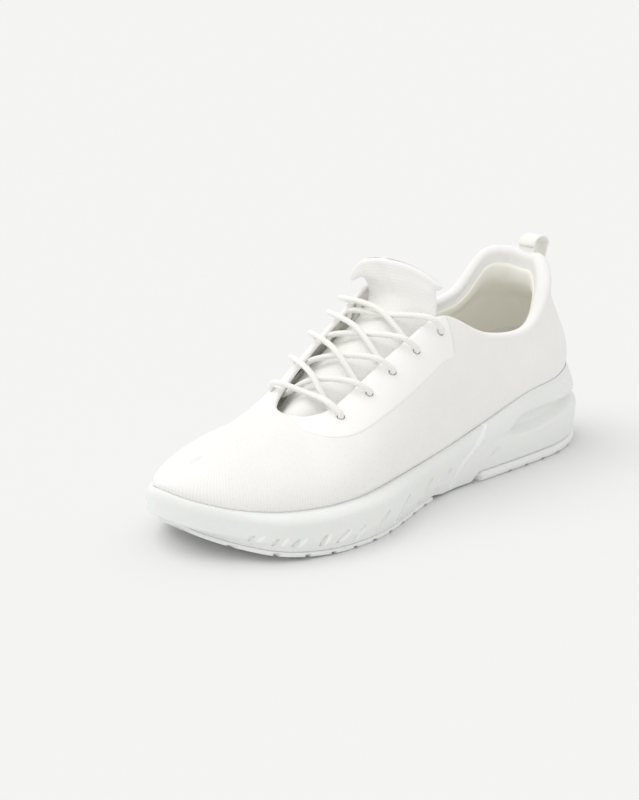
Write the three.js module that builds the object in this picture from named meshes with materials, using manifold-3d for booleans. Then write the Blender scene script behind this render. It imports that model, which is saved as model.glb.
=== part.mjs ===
// A left running shoe, EU size 40, as the pieces it is glued and stitched from. Units are millimetres.
// +X points to the toe, +Y to the outer (lateral) side and +Z up. The outsole stands on z = 0.
//
// Most pieces share one set of "stations" round the shoe: station 0 is the back of the heel, 1 to 13
// go forward along the outer side, 14 is the toe tip and -13 to -1 come back along the inner side.
import * as THREE from "three";
import { mergeVertices } from "three/addons/utils/BufferGeometryUtils.js";
import Module from "manifold-3d";

const wasm = await Module();
wasm.setup();

// ---------- driving dimensions ----------
const GAP = 0.3; // clearance kept between bonded pieces
const STATIONS = 14; // stations on each side, from heel back to toe tip
const THROAT_CORNER = 5; // station of the throat's upper corner, where the facing meets the collar
const THROAT_FRONT = 10; // station where the two facings meet at the front of the throat

const KNIT = 1.2; // thickness of the knitted upper
const OVERLAY = 0.6; // fused film over the lace facing
const BACKING = 0.6; // woven tape under the lace facing
const PUFF = 0.7; // toe puff sheet
const COUNTER = 1.2; // moulded heel counter
const LINING = 0.8; // lining cloth
const COLLAR_PAD = 7; // thickest part of the collar foam

const BOARD = 1.4; // strobel board
const SOCK_FOAM = 4; // sockliner foam
const SOCK_COVER = 0.7; // cloth on the sockliner
const OUTSOLE_HEEL = 5.2; // height of the heel rubber
const OUTSOLE_FRONT = 2.5; // height of the forefoot rubber

const LACE_RADIUS = 1.5;
const LACE_SIDES = 8;
const EYELET_RADIUS = 2.2;
const EYELET_STATIONS = { 1: [5.22, 5.87, 6.55, 7.22, 8.12], "-1": [5.4, 5.87, 6.55, 7.22, 8.12] }; // top first
const EYELET_PAIRS = EYELET_STATIONS[1].length;
const EYELET_INSET = 8.2; // from the facing's edge, along the surface

const LOOP_WIDTH = 11;
const LOOP_THICKNESS = 1.4;

// Bottom edge of the upper, where it leaves the sole: x, then y and z on the outer and the inner side.
const FEATHER = [
  [-139.5, 0, 0, 46.5, 46.5],
  [-131, 22.5, -22, 45.5, 45.5],
  [-108, 35, -33.5, 43, 43],
  [-78, 36.8, -33, 39.8, 40],
  [-48, 35.5, -29.5, 31.5, 33.5],
  [-20, 35.2, -27, 24.5, 28],
  [6, 38.5, -30, 22, 25],
  [31, 44.2, -37, 22, 23],
  [50, 48, -42, 21.8, 22],
  [66, 49, -44, 21.5, 21.5],
  [84, 46.5, -42.5, 21.5, 22],
  [104, 39, -37.5, 22.5, 23],
  [121, 27, -27.5, 25, 25.5],
  [133, 12, -16.5, 28.5, 28.5],
  [138, -3, -3, 31, 31],
];

// Top edge of the upper: collar to station 5, lace facing to 10, and then the crest of the vamp.
const TOP = [
  [-127, 0, 0, 105, 105],
  [-123.5, 14, -14.5, 103.5, 106.5],
  [-110, 26.5, -25.5, 92, 104],
  [-88, 30.5, -30, 74.5, 84],
  [-56, 29.5, -31, 76, 82],
  [-25, 23, -28, 90, 98],
  [1, 18.5, -23.5, 79, 87],
  [27, 18, -20, 66.5, 73],
  [49, 17.5, -16.5, 56, 59.5],
  [61, 11, -10, 52.5, 53.5],
  [65, 0, 0, 52, 52],
  [82, -1, -1, 50, 50],
  [99, -1.5, -1.5, 47.5, 47.5],
  [111, -2, -2, 44, 44],
  [117, -2.5, -2.5, 41, 41],
];

// How the side wall bends between them: rise and swell of the lower half, reach and fall of the upper.
const BEND = [
  [22, 3, -5, 24],
  [22, 3, -4.5, 24],
  [19, 3, -3.5, 18],
  [13, 3, 0, 12],
  [14, 3, 1.5, 13],
  [22, 4, 8, 9],
  [22, 4, 13, 5],
  [19, 3.5, 14, 3.5],
  [16, 3, 14, 3],
  [14, 3, 17, 1.5],
  [13, 3, 20, 0.4],
  [12, 3, 19, 1],
  [10, 2.5, 16, 2.3],
  [8, 2.5, 11, 4],
  [7, 2.5, 9, 4.5],
];

// How far the midsole stands out past the feather edge on the outer and inner side, and how far its
// bottom edge is drawn back under it.
const FLARE = [
  [6.5, 6.5, 1],
  [7, 6, 1],
  [5.5, 5, 1],
  [5, 4, 0.8],
  [5.5, 3, 0.8],
  [4.5, 2.5, 0.8],
  [4.5, 3, 0.8],
  [6.5, 4, 0.8],
  [8, 4.5, 0.8],
  [8, 4.8, 0.8],
  [8.3, 5, 0.8],
  [7.5, 5, 1],
  [3.5, 4, 3],
  [3, 3.5, 7],
  [2.5, 2.5, 10],
];

// ---------- curves ----------
const clamp = (value, low, high) => Math.min(high, Math.max(low, value));
const lerp = (a, b, t) => a + (b - a) * t;
const smooth = (low, high, value) => {
  const t = clamp((value - low) / (high - low), 0, 1);
  return t * t * (3 - 2 * t);
};
const vec = (x, y, z) => new THREE.Vector3(x, y, z);
const UP = vec(0, 0, 1);

// Catmull-Rom value between b and c.
function catmull(a, b, c, d, t) {
  const slopeB = (c - a) / 2;
  const slopeC = (d - b) / 2;
  const t2 = t * t;
  const t3 = t2 * t;
  return (2 * t3 - 3 * t2 + 1) * b + (t3 - 2 * t2 + t) * slopeB + (3 * t2 - 2 * t3) * c + (t3 - t2) * slopeC;
}

// The value of column `column` of a station table at any station, round the closed loop of the shoe.
// `inner` is the column that holds it on the inner side.
function loopValue(rows, column, inner, station) {
  const count = 2 * STATIONS;
  const at = (index) => {
    const wrapped = ((index % count) + count) % count;
    return wrapped <= STATIONS ? rows[wrapped][column] : rows[count - wrapped][inner];
  };
  const base = Math.floor(station);
  return catmull(at(base - 1), at(base), at(base + 1), at(base + 2), station - base);
}

// The same along the top edge, which ends at the front of the throat and goes on as the crest.
function topValue(column, inner, station) {
  const side = Math.abs(station);
  const crest = side >= THROAT_FRONT;
  const at = (index) => {
    if (crest) return TOP[clamp(Math.abs(index), THROAT_FRONT, STATIONS)][column];
    const held = clamp(index, -THROAT_FRONT, THROAT_FRONT);
    return held >= 0 ? TOP[held][column] : TOP[-held][inner];
  };
  const value = crest ? side : station;
  const base = Math.min(Math.floor(value), crest ? STATIONS - 1 : THROAT_FRONT - 1);
  return catmull(at(base - 1), at(base), at(base + 1), at(base + 2), value - base);
}

const feather = (s) => vec(loopValue(FEATHER, 0, 0, s), loopValue(FEATHER, 1, 2, s), loopValue(FEATHER, 3, 4, s));
const pastToe = (s) => (s > STATIONS ? s - 2 * STATIONS : s < -STATIONS ? s + 2 * STATIONS : s);
function topEdge(station) {
  const s = pastToe(station);
  return vec(topValue(0, 0, s), topValue(1, 2, s), topValue(3, 4, s));
}
const bend = (s) => [0, 1, 2, 3].map((column) => loopValue(BEND, column, column, s));
const flare = (s) => loopValue(FLARE, 0, 1, s);
const underEdge = (s) => flare(s) - loopValue(FLARE, 2, 2, s); // the bottom edge, past the feather edge

// Level direction out of the shoe at a station.
function outward(s) {
  const along = feather(s + 0.05).sub(feather(s - 0.05));
  return vec(-along.y, along.x, 0).normalize();
}

// Heights along the sole: its underside, and the bed that the foot stands on.
const TOE_SPRING = 13;
const HEEL_BEVEL = 5;
function ground(x) {
  const toe = Math.max(0, (x - 70) / 75);
  const heel = Math.max(0, (-118 - x) / 27);
  return TOE_SPRING * toe * toe + HEEL_BEVEL * heel * heel;
}
const BED = [[-170, 28], [-110, 27], [-60, 26], [-20, 22.5], [20, 17.5], [60, 15], [100, 17.5], [130, 23.5], [160, 32]];
function bed(x) {
  const next = clamp(BED.findIndex((point) => point[0] > x), 1, BED.length - 1);
  const at = (index) => BED[clamp(index, 0, BED.length - 1)][1];
  const t = (x - BED[next - 1][0]) / (BED[next][0] - BED[next - 1][0]);
  return catmull(at(next - 2), at(next - 1), at(next), at(next + 1), clamp(t, 0, 1));
}

// ---------- the wall of the upper ----------
const TUCK = 3.6; // how far the upper turns in under itself at the strobel seam
const SEAM_LIFT = 0.5;

// A point on the outside of the upper: v is -1 at the strobel seam, 0 at the feather edge, 1 at the top.
function wall(s, v) {
  const foot = feather(s);
  const out = outward(s);
  if (v < 0) {
    const seam = foot.clone().addScaledVector(out, -TUCK);
    seam.z = bed(seam.x) + SEAM_LIFT;
    return foot.lerp(seam, -v);
  }
  const [rise, swell, reach, fall] = bend(s);
  const top = topEdge(s);
  const low = foot.clone().addScaledVector(out, swell).addScaledVector(UP, rise);
  const high = top.clone().addScaledVector(out, reach).addScaledVector(UP, -fall);
  return new THREE.CubicBezierCurve3(foot, low, high, top).getPoint(v);
}

// Direction out of the wall. The wall has a crease at the feather edge, where this is level, and the
// two sides share it along the crest, where they meet.
function wallNormal(s, v) {
  if (v === 0) return outward(s);
  const step = 0.02;
  const crest = v === 1 && Math.abs(s) >= THROAT_FRONT;
  const height = crest ? 1 - step : v;
  const slope = (at) => {
    const along = wall(at + step, height).sub(wall(at - step, height));
    const upward = wall(at, Math.min(height + step, 1)).sub(wall(at, Math.max(height - step, -1)));
    return upward.cross(along).normalize();
  };
  return crest ? slope(s).add(slope(-s)).normalize() : slope(s);
}
const layer = (s, v, depth) => wall(s, v).addScaledVector(wallNormal(s, v), -depth);

// ---------- meshes ----------
class Skin {
  constructor() {
    this.positions = [];
  }
  triangle(a, b, c) {
    const key = (p) => `${p.x.toFixed(3)},${p.y.toFixed(3)},${p.z.toFixed(3)}`;
    if (key(a) === key(b) || key(b) === key(c) || key(c) === key(a)) return;
    for (const p of [a, b, c]) this.positions.push(p.x, p.y, p.z);
  }
  quad(a, b, c, d) {
    this.triangle(a, b, c);
    this.triangle(a, c, d);
  }
  geometry() {
    const loose = new THREE.BufferGeometry();
    loose.setAttribute("position", new THREE.Float32BufferAttribute(this.positions, 3));
    return mergeVertices(loose, 1e-3);
  }
}

// The stations and heights that every layer has its vertices on, so that faces lie parallel: closer
// together round the heel, the toe and the throat, and where the rubber pieces end.
const HALF_ROUND = [
  0, 0.5, 1, 1.5, 2, 2.5, 3, 4, 4.3, 4.6, 5, 5.4, 5.8, 6.4, 7, 8, 8.5, 9, 9.5, 10, 11, 11.5, 12, 12.5, 13, 13.5, 14,
];
const ALL_ROUND = [...HALF_ROUND.slice(1, -1).map((s) => -s).reverse(), ...HALF_ROUND];
const WHOLE_STATIONS = ALL_ROUND.filter((s) => Number.isInteger(s));
const WALL_ROWS = [-1, 0, 0.14, 0.28, 0.42, 0.56, 0.7, 0.85, 1];

// Stations from one to the other, through the toe where `from` is more than `to`.
function stationsBetween(from, to) {
  const onward = (s) => (from < to || s > from ? s : s + 2 * STATIONS);
  const end = from < to ? to : to + 2 * STATIONS;
  const inside = ALL_ROUND.map(onward).filter((s) => s > from && s < end);
  inside.sort((a, b) => a - b);
  return [from, ...inside, end].map((s) => (s > STATIONS ? s - 2 * STATIONS : s));
}

// A layer of the upper as one closed solid. `low` and `high` are its edges in v, `outer` and `inner` the
// depths of its faces below the outside of the upper; each is a function of the station (and v).
function shell({ stations, closed = false, low, high, outer, inner }) {
  const skin = new Skin();
  const rows = WALL_ROWS.length - 1;
  const columns = stations.map((s) => {
    const bottom = low(s);
    const top = high(s);
    const faces = [outer, inner].map((depth) =>
      WALL_ROWS.map((row) => {
        const v = clamp(row, bottom, top);
        return layer(s, v, depth(s, v));
      }),
    );
    return { crest: top === 1 && Math.abs(s) >= THROAT_FRONT, out: faces[0], in: faces[1] };
  });
  const pairs = closed ? columns.length : columns.length - 1;
  for (let i = 0; i < pairs; i++) {
    const a = columns[i];
    const b = columns[(i + 1) % columns.length];
    for (let row = 0; row < rows; row++) {
      skin.quad(a.out[row], a.out[row + 1], b.out[row + 1], b.out[row]);
      skin.quad(a.in[row], b.in[row], b.in[row + 1], a.in[row + 1]);
    }
    skin.quad(a.out[0], b.out[0], b.in[0], a.in[0]);
    if (!(a.crest && b.crest)) skin.quad(a.out[rows], a.in[rows], b.in[rows], b.out[rows]);
  }
  if (!closed) {
    const first = columns[0];
    const last = columns[columns.length - 1];
    for (let row = 0; row < rows; row++) {
      skin.quad(first.in[row], first.in[row + 1], first.out[row + 1], first.out[row]);
      skin.quad(last.out[row], last.out[row + 1], last.in[row + 1], last.in[row]);
    }
  }
  return skin.geometry();
}

// The line down the middle of the sole that the rings of a slab close on.
function spine(s, height) {
  const x = -104 + (loopValue(FEATHER, 0, 0, s) + 139.5) * 0.75;
  const y = 0.4 * (loopValue(FEATHER, 1, 1, s) + loopValue(FEATHER, 2, 2, s));
  return vec(x, y, height(x, s));
}

// A point of the sole: `out` past the feather edge, at a height found from x and the station.
function solePoint(s, out, height) {
  const point = feather(s).addScaledVector(outward(s), out);
  point.z = height(point.x, s);
  return point;
}

// A flat piece of the sole. `profile` lists the points of its edge from the underside to the top face,
// `under` and `over` are the heights of its two faces.
function slab({ stations = ALL_ROUND, closed = true, profile, under, over }) {
  const skin = new Skin();
  const columns = stations.map((s) => {
    const edge = profile(s);
    const middle = [spine(s, under), spine(s, over)];
    const toward = (point, core, height) => {
      const between = point.clone().lerp(core, 0.5);
      between.z = height(between.x, s);
      return between;
    };
    return [
      middle[0],
      toward(edge[0], middle[0], under),
      ...edge,
      toward(edge[edge.length - 1], middle[1], over),
      middle[1],
    ];
  });
  const pairs = closed ? columns.length : columns.length - 1;
  for (let i = 0; i < pairs; i++) {
    const a = columns[i];
    const b = columns[(i + 1) % columns.length];
    const last = a.length - 1;
    for (let ring = 0; ring < last - 3; ring++) skin.quad(a[ring], a[ring + 1], b[ring + 1], b[ring]);
    for (let ring = last - 3; ring < last; ring++) skin.quad(b[ring], a[ring], a[ring + 1], b[ring + 1]);
  }
  if (!closed) {
    const first = columns[0];
    const last = columns[columns.length - 1];
    for (let ring = 1; ring + 1 < first.length; ring++) {
      skin.triangle(first[0], first[ring + 1], first[ring]);
      skin.triangle(last[0], last[ring], last[ring + 1]);
    }
  }
  return skin.geometry();
}

// A tube with closed ends along a list of points, which a centripetal curve joins.
function tube(points, radius, sides, stepsPerPoint) {
  const curve = new THREE.CatmullRomCurve3(points, false, "centripetal");
  const steps = (points.length - 1) * stepsPerPoint;
  const centres = Array.from({ length: steps + 1 }, (_, index) => curve.getPoint(index / steps));
  const tangents = Array.from({ length: steps + 1 }, (_, index) => curve.getTangent(index / steps));
  let side = tangents[0].clone().cross(Math.abs(tangents[0].z) < 0.9 ? UP : vec(1, 0, 0)).normalize();
  const rings = centres.map((centre, index) => {
    side = side.sub(tangents[index].clone().multiplyScalar(side.dot(tangents[index]))).normalize();
    const other = tangents[index].clone().cross(side);
    return Array.from({ length: sides }, (_, corner) => {
      const angle = (2 * Math.PI * corner) / sides;
      return centre
        .clone()
        .addScaledVector(side, radius * Math.cos(angle))
        .addScaledVector(other, radius * Math.sin(angle));
    });
  });
  const skin = new Skin();
  for (let i = 0; i < steps; i++) {
    for (let corner = 0; corner < sides; corner++) {
      const next = (corner + 1) % sides;
      skin.quad(rings[i][corner], rings[i][next], rings[i + 1][next], rings[i + 1][corner]);
    }
  }
  for (let corner = 0; corner < sides; corner++) {
    const next = (corner + 1) % sides;
    skin.triangle(centres[0], rings[0][next], rings[0][corner]);
    skin.triangle(centres[steps], rings[steps][corner], rings[steps][next]);
  }
  return skin.geometry();
}

// ---------- cutting ----------
function toSolid(geometry) {
  const bare = geometry.clone();
  for (const name of Object.keys(bare.attributes)) if (name !== "position") bare.deleteAttribute(name);
  const merged = mergeVertices(bare, 1e-3);
  return new wasm.Manifold(
    new wasm.Mesh({
      numProp: 3,
      vertProperties: new Float32Array(merged.attributes.position.array),
      triVerts: new Uint32Array(merged.index.array),
    }),
  );
}
function fromSolid(solid) {
  const mesh = solid.getMesh();
  const geometry = new THREE.BufferGeometry();
  geometry.setAttribute("position", new THREE.BufferAttribute(new Float32Array(mesh.vertProperties), 3));
  geometry.setIndex(new THREE.BufferAttribute(new Uint32Array(mesh.triVerts), 1));
  return geometry;
}
function cut(geometry, tools) {
  let solid = toSolid(geometry);
  for (const tool of tools) solid = solid.subtract(toSolid(tool));
  return fromSolid(solid);
}

// ---------- sole ----------
const HEEL_RUBBER_END = 4.3; // stations where the two rubber pieces end under the arch
const FRONT_RUBBER_START = 5.8;
const ARCH_LIFT = 0.9;

// Height of the midsole's underside above the ground line: it steps over each rubber piece.
function rubberRoom(s) {
  const side = Math.abs(s);
  const heel = (OUTSOLE_HEEL + GAP - ARCH_LIFT) * smooth(4.6, HEEL_RUBBER_END, side);
  const front = (OUTSOLE_FRONT + GAP - ARCH_LIFT) * smooth(5.4, FRONT_RUBBER_START, side);
  return ARCH_LIFT + heel + front;
}
const midsoleUnder = (x, s) => ground(x) + rubberRoom(s);

// The side of the midsole: a foot, a wall hollowed at the heel under the band, and a lip. Round the heel the
// upper half leans in to meet the upper flush.
const HEEL_HOLLOW = 2.2;
const HEEL_LEAN = 3.2;
function midsoleProfile(s) {
  const side = Math.abs(s);
  const hollow = HEEL_HOLLOW * smooth(0.6, 1.6, side) * smooth(4.1, 2.6, side);
  const lean = HEEL_LEAN * smooth(4.4, 2.6, side);
  const height = (part) => (x, at) => lerp(midsoleUnder(x, at), feather(at).z, part);
  return [
    solePoint(s, underEdge(s), midsoleUnder),
    solePoint(s, lerp(underEdge(s), flare(s), 0.6), height(0.14)),
    solePoint(s, flare(s) - 0.3, height(0.36)),
    solePoint(s, flare(s) - 0.6 - 0.3 * lean - hollow, height(0.46)),
    solePoint(s, flare(s) - 1.2 - 0.55 * lean - hollow, height(0.62)),
    solePoint(s, flare(s) - 1.0 - 0.8 * lean, height(0.74)),
    solePoint(s, Math.min(2.2, flare(s) - 1.4) - 0.3 * lean, height(0.94)),
    solePoint(s, 0.5, height(1)),
    solePoint(s, 0.45 - TUCK, (x) => bed(x)),
  ];
}

// The row of slanting slots along the outer side and, last, the long groove in front of the heel band:
// x and z of the lower end, x and z of the upper end.
const SIDE_SLOTS = [
  [116.5, 11, 114.5, 13.5],
  [108, 9, 106, 12],
  [101, 7.7, 98, 10.8],
  [89, 6.2, 86, 10.6],
  [81, 6, 75, 10.4],
  [72, 5, 65, 10.2],
  [59, 5.5, 49, 12.4],
  [42, 4.5, 29, 13],
  [17, 4, 3, 13],
  [0, 4, -14.5, 13.5],
  [-17, 5, -39, 26],
];
const SLOT_WIDTHS = [1.2, 2.4]; // of the first slot and of the last
const SLOT_DEPTHS = [1.4, 2.8];

// The outer side of the sole at x: found between the arch and the toe, where x rises with the station.
function outerStation(x) {
  let low = 0;
  let high = 13.5;
  while (high - low > 1e-4) {
    const middle = (low + high) / 2;
    if (solePoint(middle, flare(middle), () => 0).x < x) low = middle;
    else high = middle;
  }
  return low;
}
function sideSlots() {
  return SIDE_SLOTS.map(([lowX, lowZ, highX, highZ], index) => {
    const t = index / (SIDE_SLOTS.length - 1);
    const ends = [[lowX, lowZ], [highX, highZ]].map(([x, z]) => {
      const station = outerStation(x);
      return solePoint(station, flare(station), () => z);
    });
    const long = ends[1].clone().sub(ends[0]);
    const out = outward(outerStation((lowX + highX) / 2));
    const across = out.clone().cross(long).normalize();
    const box = new THREE.BoxGeometry(long.length(), lerp(...SLOT_WIDTHS, t), 2 * lerp(...SLOT_DEPTHS, t));
    const middle = ends[0].lerp(ends[1], 0.5);
    const deep = long.clone().normalize().cross(across);
    return box.applyMatrix4(new THREE.Matrix4().makeBasis(long.normalize(), across, deep).setPosition(middle));
  });
}

function midsole() {
  const body = slab({ profile: midsoleProfile, under: midsoleUnder, over: bed });
  return cut(body, sideSlots());
}

// A rubber piece under the midsole, with grooves across its tread.
const TREAD_GROOVE = 2.4;
const TREAD_DEPTH = 1.3;
function outsole(stations, height, grooves) {
  const top = (x) => ground(x) + height;
  const body = slab({
    stations,
    closed: false,
    profile: (s) => [
      solePoint(s, underEdge(s) - 0.8, ground),
      solePoint(s, underEdge(s) + 0.5, (x) => ground(x) + 0.35 * height),
      solePoint(s, underEdge(s), top),
    ],
    under: ground,
    over: top,
  });
  const tools = grooves.map((x) => {
    const box = new THREE.BoxGeometry(TREAD_GROOVE, 130, 2 * TREAD_DEPTH);
    return box.applyMatrix4(new THREE.Matrix4().makeTranslation(x, 0, ground(x)));
  });
  return cut(body, tools);
}

const stepped = (from, to, count) => Array.from({ length: count }, (_, i) => lerp(from, to, i / (count - 1)));

// ---------- boards and sockliner ----------
const BOARD_INSET = TUCK + KNIT + 1.9;
const SOCK_INSET = 9.4;
function board(inset, from, thickness) {
  return slab({
    stations: WHOLE_STATIONS,
    profile: (s) => [
      solePoint(s, -inset, (x) => bed(x) + from),
      solePoint(s, -inset, (x) => bed(x) + from + thickness),
    ],
    under: (x) => bed(x) + from,
    over: (x) => bed(x) + from + thickness,
  });
}

// ---------- layers of the upper ----------
const INSIDE_KNIT = KNIT + GAP;
const COUNTER_TOP = 0.5;
const PAD_FROM = 0.56;
const PAD_TO = 0.985;

// Thickness of the collar foam: full round the heel, thin by the throat corners.
function padThickness(s, v) {
  const round = lerp(COLLAR_PAD, 3, smooth(2.4, 4.6, Math.abs(s)));
  const across = smooth(PAD_FROM - 0.05, 0.78, v) * lerp(1, 0.55, smooth(0.86, 1, v));
  return 1 + (round - 1) * across;
}
// Depth of the lining's outer face: over the counter and pad at the rear, over the knit elsewhere.
function liningDepth(s, v) {
  const rear = smooth(5.6, 4.8, Math.abs(s));
  const stiff = INSIDE_KNIT + COUNTER + GAP;
  return lerp(stiff, Math.max(stiff, INSIDE_KNIT + padThickness(s, v) + GAP), rear);
}
const facingTop = (s) => {
  const side = Math.abs(s);
  return side >= 11 ? 1 : lerp(0.6, 0.94, smooth(9.6, 11, side));
};

// ---------- lace ----------
// Places of the eyelets: on the surface, a fixed distance from the facing's edge.
function eyeletFrame(station, side) {
  const s = station * side;
  let v = 1;
  let travelled = 0;
  const step = 0.005;
  while (travelled < EYELET_INSET) {
    travelled += wall(s, v).distanceTo(wall(s, v - step));
    v -= step;
  }
  const normal = wallNormal(s, v);
  const inboard = wall(s, v + 0.02).sub(wall(s, v)).normalize();
  return { centre: wall(s, v), normal, inboard };
}
const EYELETS = { 1: [], "-1": [] };
for (const side of [1, -1]) {
  for (const station of EYELET_STATIONS[side]) EYELETS[side].push(eyeletFrame(station, side));
}
const at = (eyelet, inboard, height) =>
  eyelet.centre.clone().addScaledVector(eyelet.inboard, inboard).addScaledVector(eyelet.normal, height);

function eyeletHoles(side) {
  return EYELETS[side].map((eyelet) => {
    const hole = new THREE.CylinderGeometry(EYELET_RADIUS, EYELET_RADIUS, 14, 10);
    const turn = new THREE.Quaternion().setFromUnitVectors(vec(0, 1, 0), eyelet.normal);
    hole.applyQuaternion(turn);
    return hole.translate(eyelet.centre.x, eyelet.centre.y, eyelet.centre.z);
  });
}

// The lace through eyelet k on one side, from on top of the facing to under its edge. Both of its strands
// lean towards the eyelets they come from and go to on the other side.
const STRAND_LEAN = 0.8;
function throughEyelet(side, k) {
  const eyelet = EYELETS[side][k];
  const lean = (other, part) => {
    const towards = other.centre.clone().sub(eyelet.centre);
    towards.addScaledVector(eyelet.normal, -towards.dot(eyelet.normal)).normalize();
    return { ...eyelet, inboard: eyelet.inboard.clone().lerp(towards, part).normalize() };
  };
  const above = lean(EYELETS[-side][Math.min(k + 1, EYELET_PAIRS - 1)], STRAND_LEAN);
  const below = lean(EYELETS[-side][Math.max(k - 1, 0)], 0.5 * STRAND_LEAN);
  return [
    at(above, 9, 3.8),
    at(above, 3.4, 3.4),
    at(eyelet, 0.3, 1.9),
    at(eyelet, 0, -0.6),
    at(eyelet, 0.2, -3.1),
    at(below, 2.9, -4.4),
    at(below, 7, -4.5),
  ];
}

// Where two strands cross over the tongue between eyelet rows k and k + 1.
function crossing(k, height) {
  const corners = [1, -1].flatMap((side) => [EYELETS[side][k], EYELETS[side][k + 1]]);
  const middle = corners.reduce((sum, eyelet) => sum.add(eyelet.centre), vec(0, 0, 0)).multiplyScalar(0.25);
  const lift = corners.reduce((sum, eyelet) => sum.add(eyelet.normal), vec(0, 0, 0)).normalize();
  return middle.addScaledVector(lift, height);
}
const UNDER_STRAND = 7.2;
const OVER_STRAND = UNDER_STRAND + 2 * LACE_RADIUS + 0.5;

// Half of the lace, from the straight bar at the bottom up to the top eyelet on one side, and its end.
function laceHalf(startSide, height) {
  const route = [];
  let side = startSide;
  for (let k = EYELET_PAIRS - 1; k > 0; k--) {
    route.push(...throughEyelet(side, k), crossing(k - 1, height(k)));
    side = -side;
  }
  const intoTopEyelet = throughEyelet(side, 0).slice(0, 4);
  return [...route, ...intoTopEyelet, ...tuckedEnd(side)];
}
// The free end hangs inside, down the wall below its eyelet and then forward between it and the
// tongue's edge: stations past the top eyelet, heights on the wall and depths under its outside.
const TUCKED = [
  [0.03, 0.8, 4.3],
  [0.1, 0.72, 4.8],
  [0.25, 0.62, 6.2],
  [0.6, 0.52, 6.8],
  [1.2, 0.45, 7],
  [1.8, 0.41, 7.2],
  [2.5, 0.4, 7.2],
  [3.2, 0.4, 7.2],
];
function tuckedEnd(side) {
  return TUCKED.map(([past, v, depth]) => layer((EYELET_STATIONS[side][0] + past) * side, v, depth));
}
function laceRoute() {
  const last = EYELET_PAIRS - 1;
  const bar = EYELETS[1][last].centre.clone().add(EYELETS[-1][last].centre).multiplyScalar(0.5);
  bar.addScaledVector(UP, 5.5);
  const evens = (k) => (k % 2 === 0 ? OVER_STRAND : UNDER_STRAND);
  const odds = (k) => (k % 2 === 0 ? UNDER_STRAND : OVER_STRAND);
  return [...laceHalf(1, evens).reverse(), bar, ...laceHalf(-1, odds)];
}

// ---------- tongue ----------
// Middle line of the tongue's face from its stitched front end to its free top, with its half width, how
// far its edges drop and how far it rolls over towards the outer side.
const TONGUE = [
  [74, 0, 43.5, 16, 4, 0],
  [58, 0, 51.5, 20, 8, 0.03],
  [36, 0.5, 63, 23.5, 10, 0.1],
  [12, 0.5, 76, 24, 10.5, 0.16],
  [-8, -1, 86.6, 22.5, 9, 0.18],
  [-15, -2.5, 96.5, 19.5, 4, 0.1],
  [-13.5, -8, 106, 25, 3, -0.02],
  [-12.5, -11.5, 115, 28.5, 4, -0.05],
];
const TONGUE_TWIST = 0.17; // how far the free top turns to face the outer side
const TONGUE_SPLIT = 5; // row of TONGUE where the free top folds from the laced part
const TONGUE_PARTING = 0.055; // half of the gap left there, in rows
const TONGUE_FACE = 1;
const TONGUE_FOAM = 3.2;

function tongueValue(column, t) {
  const row = (index) => TONGUE[clamp(index, 0, TONGUE.length - 1)][column];
  const base = Math.min(Math.floor(t), TONGUE.length - 2);
  return catmull(row(base - 1), row(base), row(base + 1), row(base + 2), t - base);
}
const tongueLine = (t) => vec(tongueValue(0, t), tongueValue(1, t), tongueValue(2, t));
function tonguePoint(t, q, depth) {
  const along = tongueLine(Math.min(t + 0.05, 7)).sub(tongueLine(Math.max(t - 0.05, 0))).normalize();
  const up = vec(0, 1, 0).cross(along).normalize();
  const drop = tongueValue(4, t) * Math.sin((Math.PI / 2) * q) ** 2;
  const corner = 13 * smooth(5, 7, t) * Math.abs(q) ** 3;
  const across = tongueValue(3, t) * q;
  return tongueLine(t)
    .addScaledVector(up, -drop - depth)
    .addScaledVector(along, -corner)
    .add(vec(-TONGUE_TWIST * smooth(4.5, 6.5, t) * across, across, -tongueValue(5, t) * across));
}
function tongueLayer(from, to, depth, thickness, inset = 0) {
  const skin = new Skin();
  const rows = Math.round((to - from) * 2);
  const columns = 10;
  const grid = [depth, depth + thickness].map((d) =>
    Array.from({ length: rows + 1 }, (_, row) =>
      Array.from({ length: columns + 1 }, (_, column) =>
        tonguePoint(lerp(from, to, row / rows), lerp(-1 + inset, 1 - inset, column / columns), d),
      ),
    ),
  );
  const [face, back] = grid;
  for (let r = 0; r < rows; r++) {
    for (let c = 0; c < columns; c++) {
      skin.quad(face[r][c], face[r][c + 1], face[r + 1][c + 1], face[r + 1][c]);
      skin.quad(back[r][c], back[r + 1][c], back[r + 1][c + 1], back[r][c + 1]);
    }
    skin.quad(face[r][0], face[r + 1][0], back[r + 1][0], back[r][0]);
    skin.quad(face[r + 1][columns], face[r][columns], back[r][columns], back[r + 1][columns]);
  }
  for (let c = 0; c < columns; c++) {
    skin.quad(face[0][c + 1], face[0][c], back[0][c], back[0][c + 1]);
    skin.quad(face[rows][c], face[rows][c + 1], back[rows][c + 1], back[rows][c]);
  }
  return skin.geometry();
}

// ---------- heel loop ----------
// A webbing strip swept along a line in the middle plane of the heel, given as x and z.
function webbing(line, stepsPerPoint) {
  const curve = new THREE.CatmullRomCurve3(line.map(([x, z]) => vec(x, 0, z)), false, "centripetal");
  const steps = (line.length - 1) * stepsPerPoint;
  const rings = Array.from({ length: steps + 1 }, (_, index) => {
    const centre = curve.getPoint(index / steps);
    const across = vec(0, 1, 0).cross(curve.getTangent(index / steps)).normalize();
    return [[-1, -1], [1, -1], [1, 1], [-1, 1]].map(([width, depth]) =>
      centre
        .clone()
        .add(vec(0, (width * LOOP_WIDTH) / 2, 0))
        .addScaledVector(across, (depth * LOOP_THICKNESS) / 2),
    );
  });
  const skin = new Skin();
  for (let i = 0; i < steps; i++) {
    for (let corner = 0; corner < 4; corner++) {
      const next = (corner + 1) % 4;
      skin.quad(rings[i][corner], rings[i + 1][corner], rings[i + 1][next], rings[i][next]);
    }
  }
  skin.quad(...rings[0]);
  skin.quad(...rings[steps].reverse());
  return skin.geometry();
}
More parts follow.
